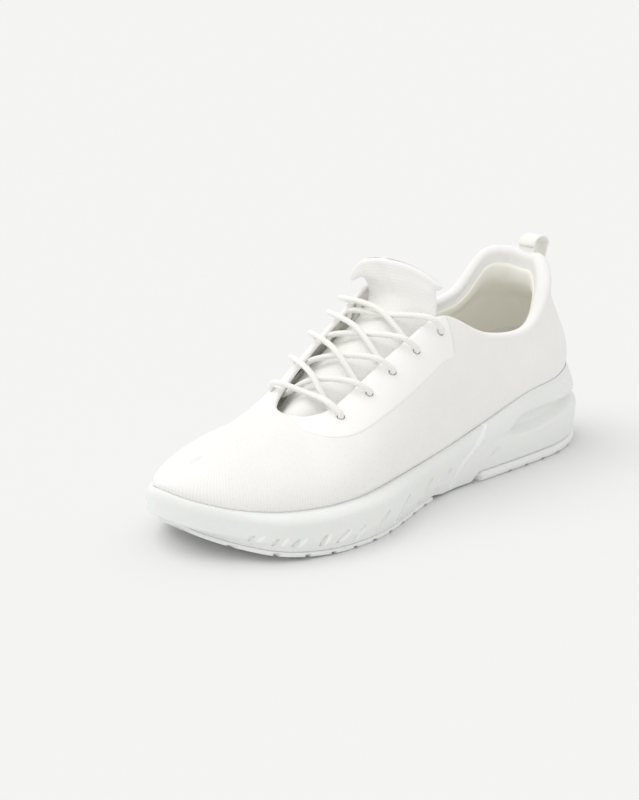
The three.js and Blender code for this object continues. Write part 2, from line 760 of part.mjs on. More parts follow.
// The stitched end of the webbing follows the back of the heel, on the outside of the knit.
function loopTail() {
  const heights = [0.42, 0.55, 0.7, 0.84, 0.99];
  const line = heights.map((v) => {
    const point = layer(0, v, -(GAP + LOOP_THICKNESS / 2 + 0.3));
    return [point.x, point.z];
  });
  return webbing(line, 1);
}
const LOOP_LINE = [
  [-121.3, 108],
  [-120.8, 109],
  [-123.2, 112.2],
  [-127.5, 113.4],
  [-131.8, 112.2],
  [-134, 109],
  [-133.2, 107.4],
];

// ---------- assembly ----------
const shoe = new THREE.Group();
function add(name, geometry, color, roughness = 0.85) {
  const material = new THREE.MeshStandardMaterial({ color, roughness, metalness: 0 });
  const mesh = new THREE.Mesh(geometry, material);
  mesh.name = name;
  shoe.add(mesh);
}

const FOAM_WHITE = "#e9ece6";
const RUBBER_WHITE = "#eef0ea";
const KNIT_WHITE = "#f3f1ea";
const FILM_WHITE = "#f7f6ef";
const LINING_CREAM = "#efe9cf";
const LACE_IVORY = "#f2efdc";

add("midsole", midsole(), FOAM_WHITE, 0.55);
add(
  "outsole_heel",
  outsole(stationsBetween(-HEEL_RUBBER_END, HEEL_RUBBER_END), OUTSOLE_HEEL, stepped(-118, -62, 5)),
  RUBBER_WHITE,
  0.6,
);
add(
  "outsole_forefoot",
  outsole(stationsBetween(FRONT_RUBBER_START, -FRONT_RUBBER_START), OUTSOLE_FRONT, stepped(8, 122, 10)),
  RUBBER_WHITE,
  0.6,
);
add("strobel_board", board(BOARD_INSET, 0.4, BOARD), "#d9d6c8");
add("sockliner_foam", board(SOCK_INSET, 2.3, SOCK_FOAM), "#e4e2d6");
add("sockliner_cover", board(SOCK_INSET, 2.5 + SOCK_FOAM + GAP, SOCK_COVER), LINING_CREAM);

add(
  "upper_knit",
  shell({
    stations: ALL_ROUND,
    closed: true,
    low: () => -1,
    high: () => 1,
    outer: () => 0,
    inner: () => KNIT,
  }),
  KNIT_WHITE,
);
add(
  "toe_puff",
  shell({
    stations: stationsBetween(11, -11),
    low: () => -0.3,
    high: () => 0.8,
    outer: () => INSIDE_KNIT,
    inner: () => INSIDE_KNIT + PUFF,
  }),
  "#dcd8c6",
);
add(
  "heel_counter",
  shell({
    stations: stationsBetween(-3, 3),
    low: () => -0.4,
    high: () => COUNTER_TOP,
    outer: () => INSIDE_KNIT,
    inner: () => INSIDE_KNIT + COUNTER,
  }),
  "#d8d4c4",
);
add(
  "collar_foam",
  shell({
    stations: stationsBetween(-4.6, 4.6),
    low: () => PAD_FROM,
    high: () => PAD_TO,
    outer: () => INSIDE_KNIT,
    inner: (s, v) => INSIDE_KNIT + padThickness(s, v),
  }),
  "#e6dfb8",
);
add(
  "collar_lining",
  shell({
    stations: stationsBetween(-4.96, 4.96),
    low: () => -0.5,
    high: () => PAD_TO,
    outer: liningDepth,
    inner: (s, v) => liningDepth(s, v) + LINING,
  }),
  LINING_CREAM,
);
add(
  "vamp_lining",
  shell({
    stations: stationsBetween(5, -5),
    low: () => -0.5,
    high: facingTop,
    outer: liningDepth,
    inner: (s, v) => liningDepth(s, v) + LINING,
  }),
  LINING_CREAM,
);
for (const [side, name] of [[1, "outer"], [-1, "inner"]]) {
  const reach = (from, to) => (side > 0 ? stationsBetween(from, to) : stationsBetween(-to, -from));
  add(
    `facing_film_${name}`,
    cut(
      shell({
        stations: reach(4.95, 9.5),
        low: (s) => lerp(0.62, 0.7, smooth(9.5, 7, Math.abs(s))),
        high: () => 0.98,
        outer: () => -GAP - OVERLAY,
        inner: () => -GAP,
      }),
      eyeletHoles(side),
    ),
    FILM_WHITE,
    0.6,
  );
  add(
    `facing_backing_${name}`,
    cut(
      shell({
        stations: reach(5.4, 9),
        low: () => 0.68,
        high: () => 0.965,
        outer: () => INSIDE_KNIT,
        inner: () => INSIDE_KNIT + BACKING,
      }),
      eyeletHoles(side),
    ),
    "#e8e4d2",
  );
}

const knit = shoe.getObjectByName("upper_knit");
knit.geometry = cut(knit.geometry, [...eyeletHoles(1), ...eyeletHoles(-1)]);

for (const [from, to, name] of [[0, TONGUE_SPLIT - TONGUE_PARTING, "base"], [TONGUE_SPLIT + TONGUE_PARTING, 7, "top"]]) {
  const foamDepth = TONGUE_FACE + GAP;
  add(`tongue_${name}_face`, tongueLayer(from, to, 0, TONGUE_FACE), KNIT_WHITE);
  add(`tongue_${name}_foam`, tongueLayer(from, to, foamDepth, TONGUE_FOAM, 0.05), "#e6dfb8");
  add(`tongue_${name}_lining`, tongueLayer(from, to, foamDepth + TONGUE_FOAM + GAP, LINING), LINING_CREAM);
}

const route = laceRoute();
add("lace", tube(route, LACE_RADIUS, LACE_SIDES, 1), LACE_IVORY);
for (const [side, name] of [[1, "outer"], [-1, "inner"]]) {
  const end = tuckedEnd(side);
  const tip = end[end.length - 1];
  const ahead = tip.clone().sub(end[end.length - 2]).normalize();
  const tag = [0.5, 7, 13.5].map((distance) => tip.clone().addScaledVector(ahead, distance));
  add(`aglet_${name}`, tube(tag, 1.3, LACE_SIDES, 1), "#f4f4f0", 0.3);
}

add("heel_loop", webbing(LOOP_LINE, 2), LACE_IVORY);
add("heel_loop_tail", loopTail(), LACE_IVORY);

// The origin is on the ground, under the middle of the box round the shoe.
const middle = new THREE.Box3().setFromObject(shoe).getCenter(vec(0, 0, 0));
shoe.position.set(-middle.x, -middle.y, 0);

export default shoe;
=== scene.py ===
"""A white left running shoe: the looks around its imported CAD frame.

The shoe is described in millimetres in the same stations as its CAD: station 0 is the back of the heel,
1 to 13 go forward along the outer side (+Y), 14 is the toe tip and -13 to -1 come back along the inner
side. placed() turns those millimetres into the frame's metres.
"""

import math

import bmesh
import bpy
import numpy as np
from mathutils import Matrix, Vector


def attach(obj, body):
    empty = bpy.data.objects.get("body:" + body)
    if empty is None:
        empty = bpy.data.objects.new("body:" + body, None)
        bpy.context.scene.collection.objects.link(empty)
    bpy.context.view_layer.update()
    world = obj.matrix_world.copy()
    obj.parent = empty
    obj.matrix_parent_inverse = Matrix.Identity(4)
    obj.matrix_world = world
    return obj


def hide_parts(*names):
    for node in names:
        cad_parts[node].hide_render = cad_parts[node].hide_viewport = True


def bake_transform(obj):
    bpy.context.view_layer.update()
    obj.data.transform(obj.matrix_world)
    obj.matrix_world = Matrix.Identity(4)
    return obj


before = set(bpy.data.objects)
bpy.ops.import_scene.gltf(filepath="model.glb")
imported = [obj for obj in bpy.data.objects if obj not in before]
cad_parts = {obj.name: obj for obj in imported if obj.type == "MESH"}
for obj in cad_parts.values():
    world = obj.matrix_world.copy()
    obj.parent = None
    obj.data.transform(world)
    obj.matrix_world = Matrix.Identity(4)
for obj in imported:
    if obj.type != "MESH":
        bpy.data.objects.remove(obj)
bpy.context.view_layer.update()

# ---------- driving dimensions, in millimetres ----------
MM = 0.001
SHIFT = np.array([2.75, -4.097, 0.0])  # from the shoe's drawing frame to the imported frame
THROAT_FRONT = 10  # station where the two lace facings meet
TOE = 14
GAP = 0.3
KNIT = 1.2
LINING = 0.8
COLLAR_PAD = 7
SOCK_FOAM = 4
SOCK_COVER = 0.7
SOCK_INSET = 9.4
BOARD_ROOM = 2.5  # from the midsole's bed to the underside of the sockliner
OUTSOLE_HEEL = 5.2
OUTSOLE_FRONT = 2.5
LACE_RADIUS = 1.5
EYELET_RADIUS = 2.0
EYELET_STATIONS = {1: [5.22, 5.87, 6.55, 7.22, 8.12], -1: [5.4, 5.87, 6.55, 7.22, 8.12]}
EYELET_PAIRS = 5
EYELET_INSET = 8.2
LOOP_WIDTH = 11
LOOP_THICKNESS = 1.4

# Bottom edge of the upper: x, y and z on the outer and inner side.
FEATHER = np.array([
    [-139.5, 0, 0, 46.5, 46.5],
    [-131, 22.5, -22, 45.5, 45.5],
    [-108, 35, -33.5, 43, 43],
    [-78, 36.8, -33, 39.8, 40],
    [-48, 35.5, -29.5, 31.5, 33.5],
    [-20, 35.2, -27, 24.5, 28],
    [6, 38.5, -30, 22, 25],
    [31, 44.2, -37, 22, 23],
    [50, 48, -42, 21.8, 22],
    [66, 49, -44, 21.5, 21.5],
    [84, 46.5, -42.5, 21.5, 22],
    [104, 39, -37.5, 22.5, 23],
    [121, 27, -27.5, 25, 25.5],
    [133, 12, -16.5, 28.5, 28.5],
    [138, -3, -3, 31, 31],
])
# Top edge of the upper: collar to station 5, lace facing to 10, then the crest of the vamp.
TOP = np.array([
    [-127, 0, 0, 105, 105],
    [-123.5, 14, -14.5, 103.5, 106.5],
    [-110, 26.5, -25.5, 92, 104],
    [-88, 30.5, -30, 74.5, 84],
    [-56, 29.5, -31, 76, 82],
    [-25, 23, -28, 90, 98],
    [1, 18.5, -23.5, 79, 87],
    [27, 18, -20, 66.5, 73],
    [49, 17.5, -16.5, 56, 59.5],
    [61, 11, -10, 52.5, 53.5],
    [65, 0, 0, 52, 52],
    [82, -1, -1, 50, 50],
    [99, -1.5, -1.5, 47.5, 47.5],
    [111, -2, -2, 44, 44],
    [117, -2.5, -2.5, 41, 41],
])
# How the side wall bends: rise and swell of its lower half, reach and fall of its upper half.
BEND = np.array([
    [22, 3, -5, 24],
    [22, 3, -4.5, 24],
    [19, 3, -3.5, 18],
    [13, 3, 0, 12],
    [14, 3, 1.5, 13],
    [22, 4, 8, 9],
    [22, 4, 13, 5],
    [19, 3.5, 14, 3.5],
    [16, 3, 14, 3],
    [14, 3, 17, 1.5],
    [13, 3, 20, 0.4],
    [12, 3, 19, 1],
    [10, 2.5, 16, 2.3],
    [8, 2.5, 11, 4],
    [7, 2.5, 9, 4.5],
])
# How far the midsole stands out on the outer and inner side, and how far its bottom edge is drawn back.
FLARE = np.array([
    [6.5, 6.5, 1],
    [7, 6, 1],
    [5.5, 5, 1],
    [5, 4, 0.8],
    [5.5, 3, 0.8],
    [4.5, 2.5, 0.8],
    [4.5, 3, 0.8],
    [6.5, 4, 0.8],
    [8, 4.5, 0.8],
    [8, 4.8, 0.8],
    [8.3, 5, 0.8],
    [7.5, 5, 1],
    [3.5, 4, 3],
    [3, 3.5, 7],
    [2.5, 2.5, 10],
])
BED_X = np.array([-170, -110, -60, -20, 20, 60, 100, 130, 160.0])
BED_Z = np.array([28, 27, 26, 22.5, 17.5, 15, 17.5, 23.5, 32.0])

# ---------- camera --------------------
CAMERA_AT = np.array([537.3, 509.1, 277.8])
CAMERA_AIM = np.array([-262.0, -310.0, -83.0])
LENS_MM = 67.5
SENSOR_MM = 36.0


# ---------- curves ----------
def lerp(a, b, t):
    return a + (b - a) * t


def smooth(low, high, value):
    t = np.clip((np.asarray(value, float) - low) / (high - low), 0, 1)
    return t * t * (3 - 2 * t)


def unit(v):
    return v / np.maximum(np.linalg.norm(v, axis=-1, keepdims=True), 1e-9)


def catmull(a, b, c, d, t):
    slope_b = (c - a) / 2
    slope_c = (d - b) / 2
    t2 = t * t
    t3 = t2 * t
    ends = (2 * t3 - 3 * t2 + 1) * b + (3 * t2 - 2 * t3) * c
    return ends + (t3 - 2 * t2 + t) * slope_b + (t3 - t2) * slope_c


def through(values, position):
    """A smooth curve through a list of values, held at its ends."""
    values = np.asarray(values, float)
    position = np.asarray(position, float)
    last = len(values) - 1
    base = np.clip(np.floor(position), 0, last - 1).astype(int)
    held = [values[np.clip(base + k, 0, last)] for k in (-1, 0, 1, 2)]
    return catmull(*held, position - base)


def loop_value(table, column, inner, s):
    """A column of a station table at any station, round the closed loop of the shoe."""
    ring = np.concatenate([table[:, column], table[TOE - 1:0:-1, inner]])
    s = np.asarray(s, float)
    base = np.floor(s).astype(int)
    held = [ring[(base + k) % len(ring)] for k in (-1, 0, 1, 2)]
    return catmull(*held, s - base)


def top_value(column, inner, s):
    """The same along the top edge, which ends at the front of the throat and goes on as the crest."""
    edge = np.concatenate([TOP[THROAT_FRONT:0:-1, inner], TOP[:THROAT_FRONT + 1, column]])
    crest = TOP[THROAT_FRONT:, column]
    s = np.asarray(s, float)
    side = np.abs(s)
    on_crest = through(crest, side - THROAT_FRONT)
    return np.where(side >= THROAT_FRONT, on_crest, through(edge, s + THROAT_FRONT))


def stack(x, y, z):
    return np.stack(np.broadcast_arrays(x, y, z), axis=-1)


def feather(s):
    return stack(loop_value(FEATHER, 0, 0, s), loop_value(FEATHER, 1, 2, s), loop_value(FEATHER, 3, 4, s))


def past_toe(s):
    s = np.asarray(s, float)
    return np.where(s > TOE, s - 2 * TOE, np.where(s < -TOE, s + 2 * TOE, s))


def top_edge(s):
    s = past_toe(s)
    return stack(top_value(0, 0, s), top_value(1, 2, s), top_value(3, 4, s))


def flare(s):
    return loop_value(FLARE, 0, 1, s)


def under_edge(s):
    return flare(s) - loop_value(FLARE, 2, 2, s)


def outward(s):
    """Level direction out of the shoe at a station."""
    s = np.asarray(s, float)
    along = feather(s + 0.05) - feather(s - 0.05)
    return unit(stack(-along[..., 1], along[..., 0], 0 * along[..., 0]))


def ground(x):
    toe = np.maximum(0, (x - 70) / 75)
    heel = np.maximum(0, (-118 - x) / 27)
    return 13 * toe * toe + 5 * heel * heel


def bed(x):
    x = np.clip(np.asarray(x, float), BED_X[0], BED_X[-1])
    index = np.clip(np.searchsorted(BED_X, x, side="right") - 1, 0, len(BED_X) - 2)
    t = (x - BED_X[index]) / (BED_X[index + 1] - BED_X[index])
    held = [BED_Z[np.clip(index + k, 0, len(BED_Z) - 1)] for k in (-1, 0, 1, 2)]
    return catmull(*held, t)


TUCK = 3.6  # how far the upper turns in under itself to its seam
SEAM_LIFT = 0.5
UP = np.array([0, 0, 1.0])


def wall(s, v):
    """A point on the outside of the upper: v is -1 at the strobel seam, 0 at the sole, 1 at the top."""
    s, v = np.broadcast_arrays(np.asarray(s, float), np.asarray(v, float))
    foot = feather(s)
    out = outward(s)
    rise, swell, reach, fall = (loop_value(BEND, k, k, s)[..., None] for k in range(4))
    top = top_edge(s)
    low = foot + out * swell + UP * rise
    high = top + out * reach - UP * fall
    t = np.clip(v, 0, 1)[..., None]
    curve = (1 - t) ** 3 * foot + 3 * (1 - t) ** 2 * t * low + 3 * (1 - t) * t * t * high + t ** 3 * top
    seam = foot - out * TUCK
    seam = stack(seam[..., 0], seam[..., 1], bed(seam[..., 0]) + SEAM_LIFT)
    tucked = lerp(foot, seam, np.clip(-v, 0, 1)[..., None])
    return np.where((v < 0)[..., None], tucked, curve)


def wall_normal(s, v):
    s, v = np.broadcast_arrays(np.asarray(s, float), np.asarray(v, float))
    step = 0.02
    crest = (v >= 1) & (np.abs(s) >= THROAT_FRONT)
    height = np.where(crest, 1 - step, v)

    def slope(at):
        along = wall(at + step, height) - wall(at - step, height)
        upward = wall(at, np.minimum(height + step, 1)) - wall(at, np.maximum(height - step, -1))
        return unit(np.cross(upward, along))

    here = slope(s)
    return np.where(crest[..., None], unit(here + slope(-s)), here)


def layer(s, v, depth):
    return wall(s, v) - wall_normal(s, v) * np.asarray(depth, float)[..., None]


def sole_point(s, out, z):
    """A point of the sole, `out` past the feather edge and at height z, a number or a function of x and s."""
    s = np.asarray(s, float)
    p = feather(s) + outward(s) * np.asarray(out, float)[..., None]
    height = z(p[..., 0], s) if callable(z) else z
    return stack(p[..., 0], p[..., 1], height)


HEEL_CENTRE = -104  # x at which the faces of the sole close at the heel


def sole_middle(s):
    """The point of the middle line that a station's strip of sole closes on."""
    centre_x = HEEL_CENTRE + (loop_value(FEATHER, 0, 0, s) - FEATHER[0, 0]) * 0.75
    centre_y = 0.4 * (loop_value(FEATHER, 1, 1, s) + loop_value(FEATHER, 2, 2, s))
    return centre_x, centre_y


# ---------- meshes ----------
def placed(points):
    return (np.asarray(points, float) + SHIFT) * MM


def mesh_object(name, points, faces, uvs=None, materials=(), material_of=None, merge=1e-5):
    """A smooth-shaded mesh from millimetre points. uvs hold one pair for each corner of each face."""
    mesh = bpy.data.meshes.new(name)
    mesh.from_pydata([tuple(p) for p in placed(points)], [], faces)
    if uvs is not None:
        mesh.uv_layers.new(name="cloth").data.foreach_set("uv", np.asarray(uvs, np.float32).ravel())
    for material in materials:
        mesh.materials.append(material)
    if material_of is not None:
        mesh.polygons.foreach_set("material_index", np.asarray(material_of, np.int32))
    obj = bpy.data.objects.new(name, mesh)
    bpy.context.scene.collection.objects.link(obj)
    tidy_mesh(obj, merge)
    return obj


def tidy_mesh(obj, merge):
    edit = bmesh.new()
    edit.from_mesh(obj.data)
    bmesh.ops.remove_doubles(edit, verts=edit.verts, dist=merge)
    bmesh.ops.dissolve_degenerate(edit, edges=edit.edges, dist=1e-7)
    bmesh.ops.recalc_face_normals(edit, faces=edit.faces)
    for face in edit.faces:
        face.smooth = True
    edit.to_mesh(obj.data)
    edit.free()


def loft(name, grid, close_rows=False, close_columns=False, skip=None, cap_rows=False, **options):
    """A surface through a grid of points, row by row. close_rows joins the last row to the first,
    close_columns the last column to the first, and cap_rows fills the two end rows."""
    grid = np.asarray(grid, float)
    rows, columns = grid.shape[:2]
    across = np.linalg.norm(np.diff(grid, axis=1, append=grid[:, :1]), axis=2)
    along = np.linalg.norm(np.diff(grid, axis=0, append=grid[:1]), axis=2).mean(axis=1)
    v = np.concatenate([np.zeros((rows, 1)), np.cumsum(across, axis=1)], axis=1)
    u = np.concatenate([[0], np.cumsum(along)])
    faces = []
    uvs = []
    for i in range(rows if close_rows else rows - 1):
        ni = (i + 1) % rows
        for j in range(columns if close_columns else columns - 1):
            if skip is not None and skip(i, ni, j):
                continue
            nj = (j + 1) % columns
            faces.append((i * columns + j, ni * columns + j, ni * columns + nj, i * columns + nj))
            uvs += [(u[i], v[i, j]), (u[i + 1], v[ni, j]), (u[i + 1], v[ni, j + 1]), (u[i], v[i, j + 1])]
    if cap_rows:
        for row in (0, rows - 1):
            faces.append(tuple(row * columns + j for j in range(columns)))
            uvs += [(u[row], v[row, j]) for j in range(columns)]
    return mesh_object(name, grid.reshape(-1, 3), faces, uvs, **options)


def applied(obj):
    """Makes an object's modifiers part of its mesh."""
    bpy.context.view_layer.update()
    graph = bpy.context.evaluated_depsgraph_get()
    final = obj.evaluated_get(graph)
    baked = bpy.data.meshes.new_from_object(final, preserve_all_data_layers=True, depsgraph=graph)
    obj.modifiers.clear()
    obj.data = baked
    return obj


def cut(obj, cutters):
    """Cuts a list of objects out of obj and deletes them."""
    for cutter in cutters:
        boolean = obj.modifiers.new("cut", "BOOLEAN")
        boolean.operation = "DIFFERENCE"
        boolean.solver = "MANIFOLD"
        boolean.object = cutter
    applied(obj)
    for cutter in cutters:
        bpy.data.objects.remove(cutter)
    return obj


def frames_along(points):
    """Tangents and two steady cross directions along a polyline."""
    tangents = unit(np.gradient(points, axis=0))
    side = unit(np.cross(tangents[0], UP if abs(tangents[0][2]) < 0.9 else np.array([1.0, 0, 0])))
    sides = []
    for tangent in tangents:
        side = unit(side - tangent * np.dot(side, tangent))
        sides.append(side)
    sides = np.array(sides)
    return tangents, sides, np.cross(tangents, sides)


def centripetal(points, steps):
    """A centripetal Catmull-Rom curve through the points, with `steps` samples between two of them."""
    points = np.asarray(points, float)
    padded = np.vstack([2 * points[0] - points[1], points, 2 * points[-1] - points[-2]])
    result = []
    for k in range(1, len(padded) - 2):
        p0, p1, p2, p3 = padded[k - 1:k + 3]
        t1 = max(np.linalg.norm(p1 - p0), 1e-6) ** 0.5
        t2 = t1 + max(np.linalg.norm(p2 - p1), 1e-6) ** 0.5
        t3 = t2 + max(np.linalg.norm(p3 - p2), 1e-6) ** 0.5
        for t in np.linspace(t1, t2, steps, endpoint=False):
            a1 = p0 + (p1 - p0) * t / t1
            a2 = p1 + (p2 - p1) * (t - t1) / (t2 - t1)
            a3 = p2 + (p3 - p2) * (t - t2) / (t3 - t2)
            b1 = a1 + (a2 - a1) * t / t2
            b2 = a2 + (a3 - a2) * (t - t1) / (t3 - t1)
            result.append(b1 + (b2 - b1) * (t - t1) / (t2 - t1))
    result.append(padded[-2])
    return np.array(result)


# ---------- materials ----------
class Shader:
    """A material with one principled shader, and short ways to add nodes to it."""

    def __init__(self, name, colour, roughness, sheen=0.0, specular=0.5, subsurface=0.0):
        self.material = bpy.data.materials.new(name)
        self.material.use_nodes = True
        self.tree = self.material.node_tree
        self.principled = self.tree.nodes["Principled BSDF"]
        self.set("Base Color", (*colour, 1))
        self.set("Roughness", roughness)
        self.set("Sheen Weight", sheen)
        self.set("Sheen Roughness", 0.5)
        self.set("Specular IOR Level", specular)
        self.set("Subsurface Weight", subsurface)
        self.set("Subsurface Scale", 0.002)
        self.colour = colour

    def set(self, socket, value):
        self.principled.inputs[socket].default_value = value

    def link(self, output, socket):
        self.tree.links.new(output, self.principled.inputs[socket])

    def add(self, kind, **values):
        node = self.tree.nodes.new(kind)
        for name, value in values.items():
            setattr(node, name, value)
        return node

    def math(self, operation, a, b=0.0, c=0.0):
        node = self.add("ShaderNodeMath", operation=operation)
        for index, value in enumerate((a, b, c)):
            if isinstance(value, (int, float)):
                node.inputs[index].default_value = value
            else:
                self.tree.links.new(value, node.inputs[index])
        return node.outputs[0]

    def place(self):
        return self.add("ShaderNodeTexCoord").outputs["Object"]

    def cloth(self):
        """The two surface coordinates in millimetres, kept in the mesh's own UV map."""
        uv = self.add("ShaderNodeUVMap", uv_map="cloth")
        split = self.add("ShaderNodeSeparateXYZ")
        self.tree.links.new(uv.outputs[0], split.inputs[0])
        return split.outputs[0], split.outputs[1]

    def noise(self, size_mm, detail=3.0, vector=None):
        node = self.add("ShaderNodeTexNoise")
        node.inputs["Scale"].default_value = 1 / (size_mm * MM)
        node.inputs["Detail"].default_value = detail
        self.tree.links.new(vector or self.place(), node.inputs["Vector"])
        return node.outputs["Fac"]

    def wave(self, coordinate, pitch, shift=0.0):
        """0 to 1 and back over each pitch."""
        turn = self.math("MULTIPLY_ADD", coordinate, 2 * math.pi / pitch, shift)
        return self.math("MULTIPLY_ADD", self.math("SINE", turn), 0.5, 0.5)

    def range(self, value, low, high):
        node = self.add("ShaderNodeMapRange")
        node.inputs["To Min"].default_value = low
        node.inputs["To Max"].default_value = high
        self.tree.links.new(value, node.inputs["Value"])
        return node.outputs[0]

    def colours(self, value, low, high):
        """Base colour that goes from one colour to another with a value from 0 to 1."""
        ramp = self.add("ShaderNodeValToRGB")
        ramp.color_ramp.elements[0].color = (*low, 1)
        ramp.color_ramp.elements[1].color = (*high, 1)
        self.tree.links.new(value, ramp.inputs[0])
        self.link(ramp.outputs[0], "Base Color")

    def bump(self, value, depth_mm, strength=1.0):
        node = self.add("ShaderNodeBump")
        node.inputs["Strength"].default_value = strength
        node.inputs["Distance"].default_value = depth_mm * MM
        self.tree.links.new(value, node.inputs["Height"])
        self.link(node.outputs[0], "Normal")


def tint(colour, factor):
    return tuple(c * factor for c in colour)


def foam_material(name, low, high):
    """Moulded EVA: a satin skin with a faint pebble and slow, soft shifts of tone."""
    shader = Shader(name, low, 0.42, specular=0.4, subsurface=0.15)
    shader.colours(shader.noise(38, 2), low, high)
    shader.link(shader.range(shader.noise(6), 0.36, 0.5), "Roughness")
    shader.bump(shader.noise(0.55, 2), 0.05, 0.5)
    return shader.material


def rubber_material():
    """Outsole rubber: lighter and duller than the foam, with a fine moulded grain."""
    shader = Shader("outsole_rubber", (0.885, 0.89, 0.875), 0.55, specular=0.35)
    shader.colours(shader.noise(20, 3), (0.87, 0.877, 0.86), (0.90, 0.904, 0.89))
    shader.link(shader.range(shader.noise(3), 0.48, 0.64), "Roughness")
    shader.bump(shader.noise(0.35, 3), 0.06, 0.6)
    return shader.material


KNIT_COLOUR = (0.93, 0.922, 0.895)


def knit_material():
    """Engineered knit: ribs with small stitches along them, and rows of fine vent holes at the front, with
    painted shade darkening the rib grooves and the holes.
    """
    shader = Shader("engineered_knit", KNIT_COLOUR, 0.82, sheen=0.25, specular=0.25)
    u, v = shader.cloth()
    ribs = shader.wave(u, 1.25)
    stitches = shader.wave(v, 0.8)
    relief = shader.math("MULTIPLY_ADD", stitches, 0.35, ribs)
    vent_u = shader.wave(u, 5.0)
    vent_v = shader.wave(shader.math("ADD", v, shader.math("MULTIPLY", u, 0.5)), 5.0)
    peak = shader.math("MULTIPLY", vent_u, vent_v)
    hole = shader.math("GREATER_THAN", peak, 0.955)
    x = shader.add("ShaderNodeSeparateXYZ")
    shader.tree.links.new(shader.place(), x.inputs[0])
    forward = shader.math("MULTIPLY", shader.math("GREATER_THAN", x.outputs[0], 0.030), hole)
    relief = shader.math("SUBTRACT", relief, shader.math("MULTIPLY", forward, 2.0))
    # Colour: a random tone from the noise, plus painted shade that darkens the grooves between the ribs
    shade = shader.math("MULTIPLY_ADD", shader.noise(14, 3), 0.5, shader.math("MULTIPLY", ribs, 0.4))
    # Painted shade: the vent holes at the front are darkened
    shade = shader.math("SUBTRACT", shade, shader.math("MULTIPLY", forward, 0.9))
    shader.colours(shade, tint(KNIT_COLOUR, 0.93), tint(KNIT_COLOUR, 1.025))
    shader.bump(relief, 0.14, 0.45)
    return shader.material


def film_material():
    """The film fused over the facing: the knit shows through it only as a faint rib."""
    shader = Shader("fused_film", (0.945, 0.94, 0.915), 0.5, specular=0.4)
    u, v = shader.cloth()
    weave = shader.math("MULTIPLY", shader.wave(u, 1.25), shader.wave(v, 0.8))
    shader.colours(shader.noise(16, 2), (0.935, 0.93, 0.905), (0.958, 0.952, 0.93))
    shader.link(shader.range(shader.noise(5), 0.42, 0.58), "Roughness")
    shader.bump(weave, 0.05, 0.4)
    return shader.material


def lining_material(name, colour):
    """Brushed lining cloth: a fine grid softened by a nap."""
    shader = Shader(name, colour, 0.9, sheen=0.35, specular=0.2)
    nap = shader.noise(0.9, 4)
    weave = shader.math("MULTIPLY_ADD", shader.noise(0.35, 2), 0.6, nap)
    shader.colours(shader.noise(9, 4), tint(colour, 0.97), tint(colour, 1.02))
    shader.bump(weave, 0.16, 0.6)
    return shader.material


def braid_material():
    """Braided lace: two families of strands that wind round it and cross."""
    shader = Shader("lace_braid", (0.935, 0.927, 0.89), 0.75, sheen=0.25, specular=0.3)
    along, turn = shader.cloth()
    turns = shader.math("MULTIPLY", turn, 6.0)
    left = shader.math("SINE", shader.math("MULTIPLY_ADD", along, 3.1, turns))
    right = shader.math("SINE", shader.math("MULTIPLY_ADD", along, 3.1, shader.math("MULTIPLY", turns, -1.0)))
    crossing = shader.math("MAXIMUM", left, right)
    # Painted shade: darker between the strands and lighter on their crowns, following the same relief as the
    # bump
    shader.colours(shader.range(crossing, 0.0, 1.0), (0.89, 0.88, 0.835), (0.95, 0.943, 0.912))
    shader.bump(crossing, 0.12, 0.5)
    return shader.material


def webbing_material():
    """Woven webbing: close ribs across the strip with a herringbone lean."""
    shader = Shader("webbing", (0.93, 0.92, 0.88), 0.7, sheen=0.3, specular=0.3)
    along, across = shader.cloth()
    lean = shader.math("ABSOLUTE", shader.math("SUBTRACT", shader.wave(across, 4.0), 0.5))
    ribs = shader.wave(shader.math("MULTIPLY_ADD", lean, 1.6, along), 0.8)
    # Painted shade: darker in the grooves between the ribs, following the same relief as the bump
    shader.colours(ribs, (0.89, 0.88, 0.83), (0.945, 0.937, 0.90))
    shader.bump(ribs, 0.15, 0.5)
    return shader.material


def fibre_material(name, colour, grain):
    """Pressed board or open foam, for the pieces inside."""
    shader = Shader(name, colour, 0.9, specular=0.2)
    shader.colours(shader.noise(2.5, 5), tint(colour, 0.9), tint(colour, 1.05))
    shader.bump(shader.noise(grain, 4), 0.2, 0.7)
    return shader.material


def aglet_material():
    shader = Shader("aglet_plastic", (0.88, 0.88, 0.86), 0.18, specular=0.6)
    shader.colours(shader.noise(2, 2), (0.85, 0.85, 0.83), (0.9, 0.9, 0.88))
    shader.link(shader.range(shader.noise(1.5), 0.14, 0.24), "Roughness")
    return shader.material


def floor_material():
    shader = Shader("studio_floor", (0.80, 0.80, 0.80), 0.95, specular=0.0)
    return shader.material


CREAM = (0.955, 0.94, 0.865)
FOAM = foam_material("eva_foam", (0.835, 0.85, 0.825), (0.865, 0.876, 0.857))
# Whiter foam for the floors of the side slots: a painted highlight
SLOT_HIGHLIGHT_FOAM = foam_material("eva_foam_painted_slot_highlight", (0.965, 0.97, 0.965), (0.985, 0.985, 0.98))
RUBBER = rubber_material()
KNITTED = knit_material()
FILM = film_material()
LINED = lining_material("brushed_lining", CREAM)
BRAID = braid_material()
WEBBING = webbing_material()
FIBRE = fibre_material("fibre_board", (0.72, 0.69, 0.6), 0.8)
PAD_FOAM = fibre_material("pad_foam", (0.78, 0.74, 0.6), 0.5)
SOCK = fibre_material("sock_foam", (0.78, 0.77, 0.71), 0.6)
PLASTIC = aglet_material()

NODE_MATERIALS = {
    "strobel_board": FIBRE,
    "toe_puff": FIBRE,
    "heel_counter": FIBRE,
    "sockliner_foam": SOCK,
    "collar_foam": PAD_FOAM,
    "vamp_lining": LINED,
    "facing_backing_outer": LINED,
    "facing_backing_inner": LINED,
    "tongue_base_foam": PAD_FOAM,
    "tongue_top_foam": PAD_FOAM,
    "aglet_outer": PLASTIC,
    "aglet_inner": PLASTIC,
}


